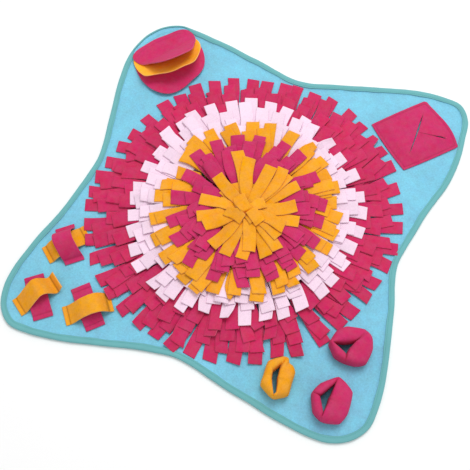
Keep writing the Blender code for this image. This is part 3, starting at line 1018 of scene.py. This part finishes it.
def build_rosette(pile):
    """Lay the rows from the outside in, each row's lower ends before its upper ones."""
    for node, slot, count, fold, height, slope, shorter, shifts, tips in ROSETTE_ROWS:
        layers = row_strips(count, fold, height, slope, shorter, shifts, tips)
        make_unruly(node, layers)
        layers = [[ends[i] for i in rng.permutation(len(ends))] for ends in layers]
        if node == GAP_ROW:
            layers.insert(0, gap_strips(fold, height, slope))
        add_row(node, slot, layers, pile)
    layers = [under_strips(), centre_strips()]
    add_row("fringe_amber_2", "amber_fleece", layers, pile)
    add_row("fringe_crown", "amber_fleece", [crown_strips()], pile)


# ================ toys on the corners
TOY_CLOTH = 2.0 * MM
TOY_FOOT = BASE_TOP + TOY_CLOTH / 2 + 0.35 * MM     # middle of the cloth where it is sewn down
TROUGH = 0.85 * MM              # how deep stitches pull the cloth in
TROUGH_WIDTH = 1.2 * MM
SEAM_SHADE = {"amber_fleece": 10.0, "magenta_fleece": 4.0}     # painted shade in seams' grooves

BRIDGE_WIDTH = 28.0 * MM
BRIDGE_HEM = 6.5 * MM           # from an end to its stitches
BRIDGE_ROWS = 61
BRIDGE_COLUMNS = np.array((-1.0, -0.94, -0.7, -0.35, 0.0, 0.35, 0.7, 0.94, 1.0))
BRIDGE_TILT = 0.07              # slope across an arch, at most
ARCH_HEIGHT = 24.0 * MM         # an arch of this height leans as far as its row says
BRIDGES = (
    # node, material slot, its two ends (mm), how far the arch leans to its left (mm), share of
    # its length and height over its hem (mm)
    ("bridge_a_under", "amber_fleece", (-248, -172), (-205.5, -118.5), 0.0,
     ((0, 0), (0.10, 0), (0.18, 6), (0.3, 9), (0.5, 8.5), (0.7, 6), (0.86, 1), (0.9, 0), (1, 0))),
    ("bridge_a_over", "magenta_fleece", (-242, -121), (-204, -166), -6.0,
     ((0, 0), (0.10, 0), (0.16, 9), (0.24, 19), (0.36, 24), (0.5, 23), (0.65, 18), (0.8, 10),
      (0.9, 2), (0.94, 0), (1, 0))),
    ("bridge_b_under", "magenta_fleece", (-251, -207), (-210, -259), 0.0,
     ((0, 0), (0.12, 0), (0.25, 4), (0.5, 6), (0.75, 4.5), (0.88, 0.5), (1, 0.4))),
    ("bridge_b_over", "amber_fleece", (-252, -259), (-213, -202), 1.5,
     ((0, 0), (0.11, 0), (0.2, 5), (0.38, 16), (0.55, 24.5), (0.65, 22), (0.75, 12), (0.81, 2),
      (0.85, 0), (0.89, 2), (1, 10))),
    ("bridge_c_under", "magenta_fleece", (-181, -197), (-134, -245), 0.0,
     ((0, 0), (0.12, 0), (0.25, 4), (0.5, 6), (0.75, 4.5), (0.88, 0.5), (1, 0))),
    ("bridge_c_over", "amber_fleece", (-183, -246), (-128.5, -202.4), 0.0,
     ((0, 0), (0.13, 0), (0.22, 5), (0.4, 15.5), (0.6, 21), (0.75, 20), (0.86, 12), (0.92, 3),
      (0.95, 0.5), (1, 0.5))),
)

FLAP_CENTRE = metres((-204.0, 203.5))
FLAP_OUT = polar(1.0, -36.0)    # the way the flaps open
FLAP_ACROSS = left_of(FLAP_OUT)
FLAP_SEAM = 35.0 * MM           # a flap starts to bend up about this far behind its centre
FLAP_BEND = 24.0 * MM           # length of cloth over which it bends
FLAP_LENGTH = 91.0 * MM         # its waves have their full size this far along it
FLAP_HALF = 50.0 * MM           # half the width over which a flap's lift changes
FLAP_DROOP = 80.0 * MM          # length of cloth over which it droops as far as its row says
FLAP_COVERED = (45.0 * MM, 95.0 * MM)   # along a flap, where the painted light under the next one's cover fades out
FLAP_STITCHES = 7.0 * MM        # from the back edge
FLAP_SEWN = 52.0                # degrees to each side of the back that are stitched
FLAP_STATIONS = 96
FLAP_SHARES = np.array(
    (0.1, 0.22, 0.34, 0.46, 0.57, 0.67, 0.76, 0.83, 0.88, 0.92, 0.955, 0.985, 1.0)
)
FLAP_BACK = (
    (-171, 49.5), (-158, 51.5), (-148, 56.5), (-141, 60), (-128, 65), (112, 62), (121, 64.5),
    (129, 65), (142, 56), (152, 51), (165, 48.5), (179, 49),
)
FLAPS = (
    # node, material slot, how much lighter it is painted where the next one covers it (painted
    # light against that cover's shade), how far its back edge is set in, height over the lowest
    # one and place of its bend mm, lift of its sides at bearings -90 and 90 and droop in degrees,
    # size mm, length mm and phase of its waves, then its edge: bearing from the way it opens in
    # degrees and radius mm
    ("flap_low", "magenta_fleece", 3.0, 5.0, 0.0, 8.0, (5.0, 5.0), 3.0, (0.9, 60.0, 0.4),
     ((-115, 59), (-101, 57), (-76, 58.5), (-58, 61), (-44, 62.5), (-33, 62), (-16, 56),
      (10, 50.5), (28, 52.5), (48, 54.5), (64, 54.5), (84, 55.5))),
    ("flap_middle", "amber_fleece", 7.0, 3.0, 2.35, 6.5, (33.0, 33.0), 8.0, (2.0, 52.0, 2.2),
     ((-117, 60), (-105, 56), (-88, 54.5), (-70, 57), (-64, 50), (-50, 44.5), (-36, 43.5),
      (-15, 46), (6, 46), (17, 49), (24, 52), (45, 50.5), (70, 52), (88, 54))),
    ("flap_top", "magenta_fleece", 0.0, 0.0, 4.7, 5.0, (54.0, 46.0), 7.0, (1.2, 75.0, 1.0),
     ((-122, 60.5), (-118.5, 54), (-114, 46.5), (-100, 39.5), (-80, 37), (-66, 38.5), (-38, 48.5),
      (-24, 52), (-11, 53), (16, 52.5), (28, 51.5), (43, 47), (65, 43.5), (93, 51), (103, 56))),
)

POCKET_CORNERS = ((137, 209.5), (205, 281), (274, 220), (206.5, 151.5))
POCKET_EDGES = (1.0, 7.0, 1.0, 2.0)     # how far each side bows out, mm
POCKET_SKEW = (1.0, 1.36, 1.0, 1.0)     # over 1 puts the bow nearer the side's end
POCKET_SIDE_POINTS = 40
POCKET_MIDDLE = metres((207.6, 218.0))  # where the slits meet
POCKET_HALF = 48.0 * MM         # from its middle to the middle of a side
POCKET_BULGE = 4.6 * MM
POCKET_RISE = (3.0 * MM, 24.0 * MM)     # distances from its edge between which it rises
POCKET_STITCHES = 3.8 * MM
POCKET_SEAM_SHADE = 0.6         # its seam's painted shade, as a share of the other toys'
POCKET_SHARES = np.concatenate((
    np.linspace(0.025, 0.88, 20), (0.905, 0.925, 0.942, 0.957, 0.971, 0.986, 1.0),
))
POCKET_STEP = 4.0               # degrees between stations
POCKET_SLITS = (
    # bearing in degrees, length mm, half its opening in mm along it
    (8.9, 47.8, ((0, 0.75), (0.5, 0.8), (0.78, 1.6), (0.9, 1.3), (1, 0.1))),
    (90.5, 38.0, ((0, 1.8), (0.3, 1.5), (0.7, 1.1), (1, 0.1))),
    (269.0, 42.2, ((0, 1.4), (0.35, 1.15), (0.75, 0.9), (1, 0.1))),
)
POCKET_LIPS = (1.2, 0.8, 1.9)   # rise of the cloth beside the slits in each sector, mm
LIP_REACH = 7.0 * MM
SLIT_SEAM = 0.3 * MM            # half the space between two stations beyond a slit's end

ROLL_STEP = 2.6                 # degrees between stations
ROLL_TRIM = 1.5 * MM            # cloth bulges out past the middle points by about this
CREASE_DEPTH = 6.0              # of a crease at the mouth, mm
CREASE_WIDTH = 1.2
CREASE_STEP = 0.9               # half the width of the step in height beside it, mm
CREASE_REACH = 8.0              # how far that step is felt, mm
ROLL_SHOULDER = 5               # the row of points whose length is the cloth's
ROLL_PROFILE = (
    # share of the way from the mouth to the outline, height over the foot mm
    (0.93, 0.2), (0.98, 3.0), (1.0, 8.0), (0.99, 13.0), (0.955, 17.5), (0.89, 21.0), (0.78, 23.7),
    (0.62, 25.4), (0.42, 26.2), (0.22, 26.2), (0.08, 25.3), (0.0, 23.3), (-0.03, 20.0),
    (-0.07, 14.0), (-0.09, 8.0), (-0.05, 4.0),
)
ROLLS = (
    # node, material slot, size of its height, outline, mouth, then its creases: the mouth's
    # corner, the crease's end and how much higher the cloth is on its left side, all in mm
    ("rolled_pocket_1", "magenta_fleece", 0.96,
     ((182.8, -149.3), (188, -128.5), (200.5, -118.2), (225.7, -113.7), (238.6, -121.2),
      (244.4, -138), (241.6, -160.6), (228.5, -168.3), (210.7, -169.7), (196.7, -167),
      (187, -156.5)),
     ((186.5, -149.6), (219.5, -134.6), (211.8, -160.0)),
     (((219.5, -134.6), (227.3, -116.9), -2.0), ((211.8, -160.0), (211.3, -167.5), 2.0))),
    ("rolled_pocket_2", "amber_fleece", 0.96,
     ((137.3, -189.6), (129.9, -191.1), (112.2, -204.5), (112.1, -225.9), (113.3, -239.9),
      (129.8, -249.2), (138.1, -250.6), (144.7, -247.4), (154.9, -239.7), (154.2, -219.1),
      (153.6, -206.1), (148.4, -198.8), (141, -196.3)),
     ((133.5, -198), (122, -216), (124, -227), (135, -248.5), (138.5, -243), (131.5, -206)),
     (((132.9, -198.3), (136.5, -190.5), -2.0), ((135.2, -246.5), (137, -250.4), 1.5))),
    ("rolled_pocket_3", "magenta_fleece", 1.0,
     ((209.9, -191.3), (222.5, -194.3), (235.8, -203.6), (238.3, -219.5), (238.5, -236.1),
      (232, -251.2), (214.7, -256.6), (205.7, -256.2), (193.2, -249.5), (182.4, -225.3),
      (189.5, -208.2)),
     ((209.9, -199.1), (192.9, -225.5), (206.4, -248.5), (210.0, -226.3)),
     (((209.9, -199.1), (210.2, -191.5), -2.2), ((206.4, -248.5), (205.4, -255.9), 2.2),
      ((192.9, -225.5), (183.9, -224.8), -0.8))),
)


def trough(distance):
    """Depth of the groove that stitches make, at a distance from their line."""
    return TROUGH * np.exp(-((distance / TROUGH_WIDTH) ** 2))


def seam_shade(slot, distance):
    """Painted shade: darker cloth in the groove that stitches make."""
    return -SEAM_SHADE[slot] * trough(distance) / TROUGH


def add_toy(node, slot, grid, faces, uvs, shade=0.0):
    """One closed sheet in place of a node."""
    cloth = Cloth()
    cloth.add_sheet(grid, faces, rim_edges(faces), uvs, TOY_CLOTH, shade)
    return put_on(cloth.build(node + "_cloth", FLEECE[slot]), slot, node)


# ---------------- crossed strips
def soft_curve(knots, count, rounds):
    """Values through the knots at even steps, with the corners taken off."""
    values = np.interp(np.linspace(0.0, 1.0, count), *np.array(knots, dtype=float).T)
    for _ in range(rounds):
        values[1:-1] = (values[:-2] + 2.0 * values[1:-1] + values[2:]) / 4.0
    return values


def bridge_grid(start, end, lean, knots):
    """Rows of points along an arched strip, and their distances from its stitches."""
    length = np.linalg.norm(end - start)
    along = (end - start) / length
    run = np.linspace(0.0, length, BRIDGE_ROWS)
    heights = soft_curve(knots, BRIDGE_ROWS, 8) * MM
    tilt = BRIDGE_TILT * rng.uniform(-1.0, 1.0) * smooth_step(heights, 1.0 * MM, 10.0 * MM)
    sag = 0.3 * MM * np.sin(run / (9.0 * MM) + rng.uniform(0.0, 6.0))
    side = BRIDGE_COLUMNS[None, :] * (BRIDGE_WIDTH + sag[:, None]) / 2.0
    aside = side + (lean * heights / ARCH_HEIGHT)[:, None]
    plan = start + along * run[:, None, None] + left_of(along) * aside[..., None]
    stitches = np.minimum(run, length - run) - BRIDGE_HEM
    middle = TOY_FOOT + heights - trough(stitches)
    return raised(plan, middle[:, None] + tilt[:, None] * side), stitches


def build_bridges(pile, thread):
    """Strips sewn down at both ends, each pair crossed."""
    faces = grid_faces(BRIDGE_ROWS, len(BRIDGE_COLUMNS))
    for node, slot, start, end, lean, knots in BRIDGES:
        start, end = metres(start), metres(end)
        grid, stitches = bridge_grid(start, end, lean * MM, knots)
        along = lengths_along(grid[:, len(BRIDGE_COLUMNS) // 2])
        uvs = flat_places(along, BRIDGE_COLUMNS * BRIDGE_WIDTH / 2.0)
        # painted shade along the hems' stitches
        shade = np.repeat(seam_shade(slot, stitches), len(BRIDGE_COLUMNS))
        piece = add_toy(node, slot, grid, faces, uvs, shade)
        pile.lay(grid, TOY_CLOTH)
        hem = BRIDGE_HEM / np.linalg.norm(end - start)
        for share in (hem, 1.0 - hem):
            line = between(grid, np.array([share * (BRIDGE_ROWS - 1)]))[0]
            thread[slot].append(line[1:-1] + (0.0, 0.0, TOY_CLOTH / 2.0))


# ---------------- round flaps
def ring_values(knots, degrees, rounds):
    """Values round a circle from knots of degrees and value, with the corners taken off."""
    knots = np.array(sorted((bearing % 360.0, value) for bearing, value in knots), dtype=float)
    values = np.interp(degrees % 360.0, knots[:, 0], knots[:, 1], period=360.0)
    for _ in range(rounds):
        values = (np.roll(values, 1) + 2.0 * values + np.roll(values, -1)) / 4.0
    return values


def flap_curve(runs, bend, lift, droop):
    """Distance out from the seam and rise of a flap, at distances along its cloth."""
    marks = np.linspace(-30.0 * MM, 120.0 * MM, 601)
    turn = lift * smooth_step(marks, bend, bend + FLAP_BEND)
    turn = turn - droop * np.clip((marks - bend) / FLAP_DROOP, 0.0, 1.3) ** 2
    step = marks[1] - marks[0]
    out, rise = np.cumsum(np.cos(turn)) * step, np.cumsum(np.sin(turn)) * step
    out = out - np.interp(0.0, marks, out)
    return np.interp(runs, marks, out), np.interp(runs, marks, rise)


def flap_grid(radii, bearings, height, bend, lifts, droop, waves):
    """Rings of points from near the middle of a flap to its edge, and their flat places."""
    size, period, phase = waves
    radius = radii[:, None] * FLAP_SHARES[None, :]
    run = FLAP_SEAM + radius * np.cos(bearings)[:, None]
    side = radius * np.sin(bearings)[:, None]
    share = smooth_step(side, -FLAP_HALF, FLAP_HALF)
    curves = [np.stack(flap_curve(run, bend, math.radians(lift), math.radians(droop)))
              for lift in lifts]
    out, rise = curves[0] * (1.0 - share) + curves[1] * share
    free = smooth_step(run, bend, FLAP_LENGTH)
    swell = np.sin(2.0 * math.pi * side / (period * MM) + phase)
    swell = swell + 0.4 * np.sin(5.0 * bearings)[:, None]
    back = smooth_step(-np.cos(bearings), 0.35, 0.75)[:, None]
    groove = trough(radii[:, None] - radius - FLAP_STITCHES) * back
    heights = TOY_FOOT + height + rise + size * MM * free * swell - groove
    plan = FLAP_CENTRE + FLAP_OUT * (out - FLAP_SEAM)[..., None] + FLAP_ACROSS * side[..., None]
    return raised(plan, heights), np.stack((run, side), axis=-1)


def flap_seam(grid, radii, degrees):
    """Points of the stitched line on a flap's upper side."""
    sewn = np.abs(degrees - 180.0) < FLAP_SEWN
    shares = 1.0 - FLAP_STITCHES / radii
    places = np.interp(shares, FLAP_SHARES, range(len(FLAP_SHARES)))
    line = [between(row, place[None])[0] for row, place in zip(grid[sewn], places[sewn])]
    return np.array(line) + (0.0, 0.0, TOY_CLOTH / 2.0)


def build_flaps(thread):
    """Three discs sewn together near their back edge, opening like pages."""
    degrees = np.arange(FLAP_STATIONS) * 360.0 / FLAP_STATIONS
    rings = len(FLAP_SHARES)
    first = np.arange(FLAP_STATIONS) * rings
    faces = np.concatenate((
        grid_faces(FLAP_STATIONS, rings, wrap=True)[:, ::-1],
        fan_faces(FLAP_STATIONS * rings, first),
    ))
    for node, slot, painted_light, inset, height, bend, lifts, droop, waves, edge in FLAPS:
        back = tuple((bearing, radius - inset) for bearing, radius in FLAP_BACK)
        radii = ring_values(edge + back, degrees, 4) * MM
        grid, flat = flap_grid(
            radii, np.radians(degrees), height * MM, bend * MM, lifts, droop, waves,
        )
        points = np.vstack((grid.reshape(-1, 3), grid[:, 0].mean(axis=0)))
        places = np.vstack((flat.reshape(-1, 2), flat[:, 0].mean(axis=0)))
        # painted light where the next flap covers this one, fading out towards its edge
        shade = painted_light * (1.0 - smooth_step(places[:, 0], *FLAP_COVERED))
        piece = add_toy(node, slot, points, faces, places, shade)
    thread["magenta_fleece"].append(flap_seam(grid, radii, degrees))    # on the top one


# ---------------- pocket with slits
def rays_to(origin, degrees, loop):
    """Distance from a point inside a closed loop to the loop, at each bearing."""
    start = loop - origin
    edge = np.roll(loop, -1, axis=0) - loop
    bearings = np.radians(degrees)[:, None]
    x, y = np.cos(bearings), np.sin(bearings)
    across = x * edge[:, 1] - y * edge[:, 0]
    across = np.where(np.abs(across) < 1e-12, 1e-12, across)
    reach = (start[:, 0] * edge[:, 1] - start[:, 1] * edge[:, 0]) / across
    place = (start[:, 0] * y - start[:, 1] * x) / across
    hit = (place > -1e-6) & (place < 1.0 + 1e-6) & (reach > 0.0)
    return np.where(hit, reach, np.inf).min(axis=1)


def fan(bearings, step):
    """Bearings from the first to the last through all given ones, step degrees apart or less."""
    parts = [np.linspace(start, end, math.ceil((end - start) / step), endpoint=False)
             for start, end in zip(bearings, bearings[1:])]
    return np.concatenate(parts + [[bearings[-1]]])


def pocket_outline():
    """The pocket's edge: four sides that bow out a little."""
    corners = np.array(POCKET_CORNERS, dtype=float)
    ends = np.roll(corners, -1, axis=0)
    shares = np.linspace(0.0, 1.0, POCKET_SIDE_POINTS, endpoint=False)[:, None]
    sides = []
    for start, end, bow, skew in zip(corners, ends, POCKET_EDGES, POCKET_SKEW):
        out = left_of(unit(end - start)) * bow
        sides.append(start + (end - start) * shares + out * np.sin(math.pi * shares**skew))
    return np.concatenate(sides) * MM


def sector_bearings(number):
    """Bearings from one slit to the next, through the pocket's corners between them."""
    start, end = POCKET_SLITS[number][0], POCKET_SLITS[(number + 1) % 3][0]
    end += 360.0 * (end < start)
    turns = [bearing_of(POCKET_MIDDLE, metres(corner)) % 360.0 for corner in POCKET_CORNERS]
    corners = [turn + more for turn in turns for more in (0.0, 360.0)
               if start + 2.0 < turn + more < end - 2.0]
    return fan([start, *sorted(corners), end], POCKET_STEP)


def pocket_sector(number, outline):
    """Stations of the cloth between two slits: bearings, plan and rise beside the slits."""
    degrees = sector_bearings(number)
    radius = rays_to(POCKET_MIDDLE, degrees, outline)[:, None] * POCKET_SHARES
    share = ((degrees - degrees[0]) / (degrees[-1] - degrees[0]))[:, None]
    plan = POCKET_MIDDLE + polar(radius, degrees[:, None])
    lip = np.zeros_like(radius)
    for slit, nearness, turn in ((number, 1.0 - share, 90.0), ((number + 1) % 3, share, -90.0)):
        line, length, opening = POCKET_SLITS[slit]
        along = radius / (length * MM)
        width = np.interp(along, *np.array(opening, dtype=float).T) * MM
        width = np.maximum(np.where(along < 1.0, width, 0.0), SLIT_SEAM)
        plan = plan + polar(1.0, line + turn) * (width * nearness**4)[..., None]
        aside = radius * np.abs(np.sin(np.radians(degrees - line)))[:, None]
        aside = np.where(nearness > 0.5, aside, radius)
        lip += np.exp(-((aside / LIP_REACH) ** 2)) * np.clip(1.0 - along**2, 0.0, 1.0)
    return degrees, plan, lip * POCKET_LIPS[number] * MM


def pocket_faces(plan, last):
    """Faces between all stations but those that a slit parts, given each sector's last one."""
    stations, rings = plan.shape[:2]
    faces = grid_faces(stations, rings, wrap=True)[:, ::-1].reshape(stations, rings - 1, 4)
    keep = np.ones(faces.shape[:2], dtype=bool)
    for number, row in enumerate(last):
        _, length, _ = POCKET_SLITS[(number + 1) % 3]
        reach = np.linalg.norm(plan[row] - POCKET_MIDDLE, axis=1)
        keep[row] = reach[1:] > length * MM
    return faces[keep]


def build_pocket(thread):
    """A square of cloth sewn down all round, cut by two slits that meet in the middle."""
    outline = pocket_outline()
    sectors = [pocket_sector(number, outline) for number in range(3)]
    plan = np.concatenate([plan for _, plan, _ in sectors])
    lips = np.concatenate([lip for _, _, lip in sectors])
    inside = np.linalg.norm(plan[:, :, None] - outline, axis=-1).min(axis=-1)
    heights = POCKET_BULGE * smooth_step(inside, *POCKET_RISE) + lips
    ripple = 0.25 * MM * np.sin(plan[..., 0] * 210.0) * np.sin(plan[..., 1] * 170.0 + 1.0)
    heights = TOY_FOOT + heights + ripple - trough(inside - POCKET_STITCHES)
    grid = raised(plan, heights)
    last = np.cumsum([len(degrees) for degrees, _, _ in sectors]) - 1
    faces = pocket_faces(plan, last)
    # painted shade along the pocket's seam
    shade = seam_shade("magenta_fleece", inside - POCKET_STITCHES).ravel() * POCKET_SEAM_SHADE
    piece = add_toy("slit_pocket", "magenta_fleece", grid, faces, grid[..., :2], shade)
    middle = np.mean(outline, axis=0)
    seam = middle + (outline - middle) * (1.0 - POCKET_STITCHES / POCKET_HALF)
    level = TOY_FOOT - TROUGH + TOY_CLOTH / 2.0 + 0.1 * MM
    thread["magenta_fleece"].append(closed(raised(seam, level)))


# ---------------- rolled pockets
def crease_depth(degrees, shares, middle, creases, reach):
    """Change in height that the creases make, at bearings and shares from mouth to outline."""
    change = np.zeros((len(degrees), len(shares)))
    shares = np.clip(shares, 0.0, 1.0)[None, :]
    fade = 1.0 - 0.75 * shares
    for corner, end, step in creases:
        start_turn = bearing_of(middle, metres(corner))
        end_turn = bearing_of(middle, metres(end))
        swing = (end_turn - start_turn + 180.0) % 360.0 - 180.0
        apart = (degrees[:, None] - start_turn - swing * shares + 180.0) % 360.0 - 180.0
        aside = np.radians(apart) * reach / MM
        change -= CREASE_DEPTH * fade * np.exp(-((aside / CREASE_WIDTH) ** 2))
        near = np.exp(-((aside / CREASE_REACH) ** 2))
        change += step * fade * np.tanh(aside / CREASE_STEP) * near
    return change * MM


def roll_grid(outline, mouth, creases, size):
    """Rows of points from a rolled pocket's foot, over its top and down inside its mouth."""
    outline, mouth = metres(outline), metres(mouth)
    middle = mouth.mean(axis=0)
    turns = sorted(bearing_of(middle, corner) for corner in mouth)
    degrees = fan([*turns, turns[0] + 360.0], ROLL_STEP)[:-1]
    rounded, angular, inner = (
        rays_to(middle, degrees, loop) for loop in (smooth_loop(outline, 6), outline, mouth)
    )
    outer = (rounded + angular) / 2 - ROLL_TRIM
    shares, heights = np.array(ROLL_PROFILE).T
    radius = inner[:, None] + (outer - inner)[:, None] * shares
    change = crease_depth(degrees, shares, middle, creases, radius)
    upper = smooth_step(heights, 8.0, 20.0)[None, :]
    bearings = np.radians(degrees)[:, None]
    ripple = 0.5 * MM * np.sin(3.0 * bearings + 1.0) + 0.3 * MM * np.sin(7.0 * bearings)
    rise = TOY_FOOT + heights * size * MM + (change + ripple) * upper
    return raised(middle + polar(radius, degrees[:, None]), rise)


def build_rolls():
    """Rings of cloth turned in on themselves, with a mouth."""
    for node, slot, size, outline, mouth, creases in ROLLS:
        grid = roll_grid(outline, mouth, creases, size)
        faces = grid_faces(*grid.shape[:2], wrap=True)
        around = lengths_along(closed(grid[:, ROLL_SHOULDER]))
        uvs = flat_places(around[:-1], lengths_across(grid))
        piece = add_toy(node, slot, grid, faces, uvs)


# ---------------- stitches
STITCH_PITCH = 3.2 * MM
STITCH_LENGTH = 2.5 * MM
STITCH_RADIUS = 0.28 * MM
STITCH_RINGS = (
    # place along the stitch as a share of its length, thickness share, height mm
    (-0.46, 0.75, -0.12), (-0.25, 1.0, 0.08), (0.25, 1.0, 0.08), (0.46, 0.75, -0.12),
)
STITCH_SIDES = 6
STITCH_TIP = 0.35 * MM          # how deep its ends go into the cloth


def stitch_faces():
    """Faces of one stitch: a bar of rings with a point at each end."""
    middle = len(STITCH_RINGS) * STITCH_SIDES
    index = np.arange(middle).reshape(-1, STITCH_SIDES)
    following = np.roll(index, -1, axis=1)
    sides = np.stack((index[:-1], following[:-1], following[1:], index[1:]), axis=-1)
    ends = fan_faces(middle, index[0], flip=True), fan_faces(middle + 1, index[-1])
    return np.concatenate((sides.reshape(-1, 4), *ends))


def add_stitches(cloth, line):
    """Stitches along a line of points on the cloth's surface."""
    lengths = lengths_along(line)
    count = int(lengths[-1] / STITCH_PITCH)
    faces = stitch_faces()
    angles = 2.0 * math.pi * np.arange(STITCH_SIDES) / STITCH_SIDES
    for mark in (np.arange(count) + 0.5) * lengths[-1] / count:
        ends = [np.array([np.interp(mark + part, lengths, line[:, i]) for i in range(3)])
                for part in (-0.5 * STITCH_LENGTH, 0.5 * STITCH_LENGTH)]
        along = unit(ends[1] - ends[0])
        side = unit(np.cross((0.0, 0.0, 1.0), along))
        up = np.cross(along, side)
        middle = (ends[0] + ends[1]) / 2.0
        points = []
        for place, thick, rise in STITCH_RINGS:
            centre = middle + along * place * STITCH_LENGTH + up * rise * MM
            spokes = np.outer(np.cos(angles), side) + np.outer(np.sin(angles), up)
            points.append(centre + spokes * STITCH_RADIUS * thick)
        tips = [middle + along * place * STITCH_LENGTH - up * STITCH_TIP for place in (-0.5, 0.5)]
        points = np.concatenate(points + [tips])
        uvs = np.column_stack(((points - middle) @ along + mark, (points - middle) @ side))
        cloth.add(points, faces, uvs)


def build_stitches(thread):
    """All stitches of one colour in one piece; the tape's run right round the mat."""
    inset = OUTLINE + OUTLINE_INWARD * (STITCH_INSET * TAPE_SHOWN)[:, None]
    thread["teal_tape"].append(closed(raised(inset, STITCH_LEVEL)))
    for slot, lines in thread.items():
        cloth = Cloth()
        for line in lines:
            add_stitches(cloth, line)
        name = slot.split("_")[0] + "_stitches"
        put_on(cloth.build(name, THREAD[slot]), slot)


add_camera()
add_light()
add_floor()
build_base()
build_tape()
pile = Pile()
thread = {slot: [] for slot in THREAD}
build_bridges(pile, thread)
build_rosette(pile)
build_flaps(thread)
build_pocket(thread)
build_rolls()
build_stitches(thread)
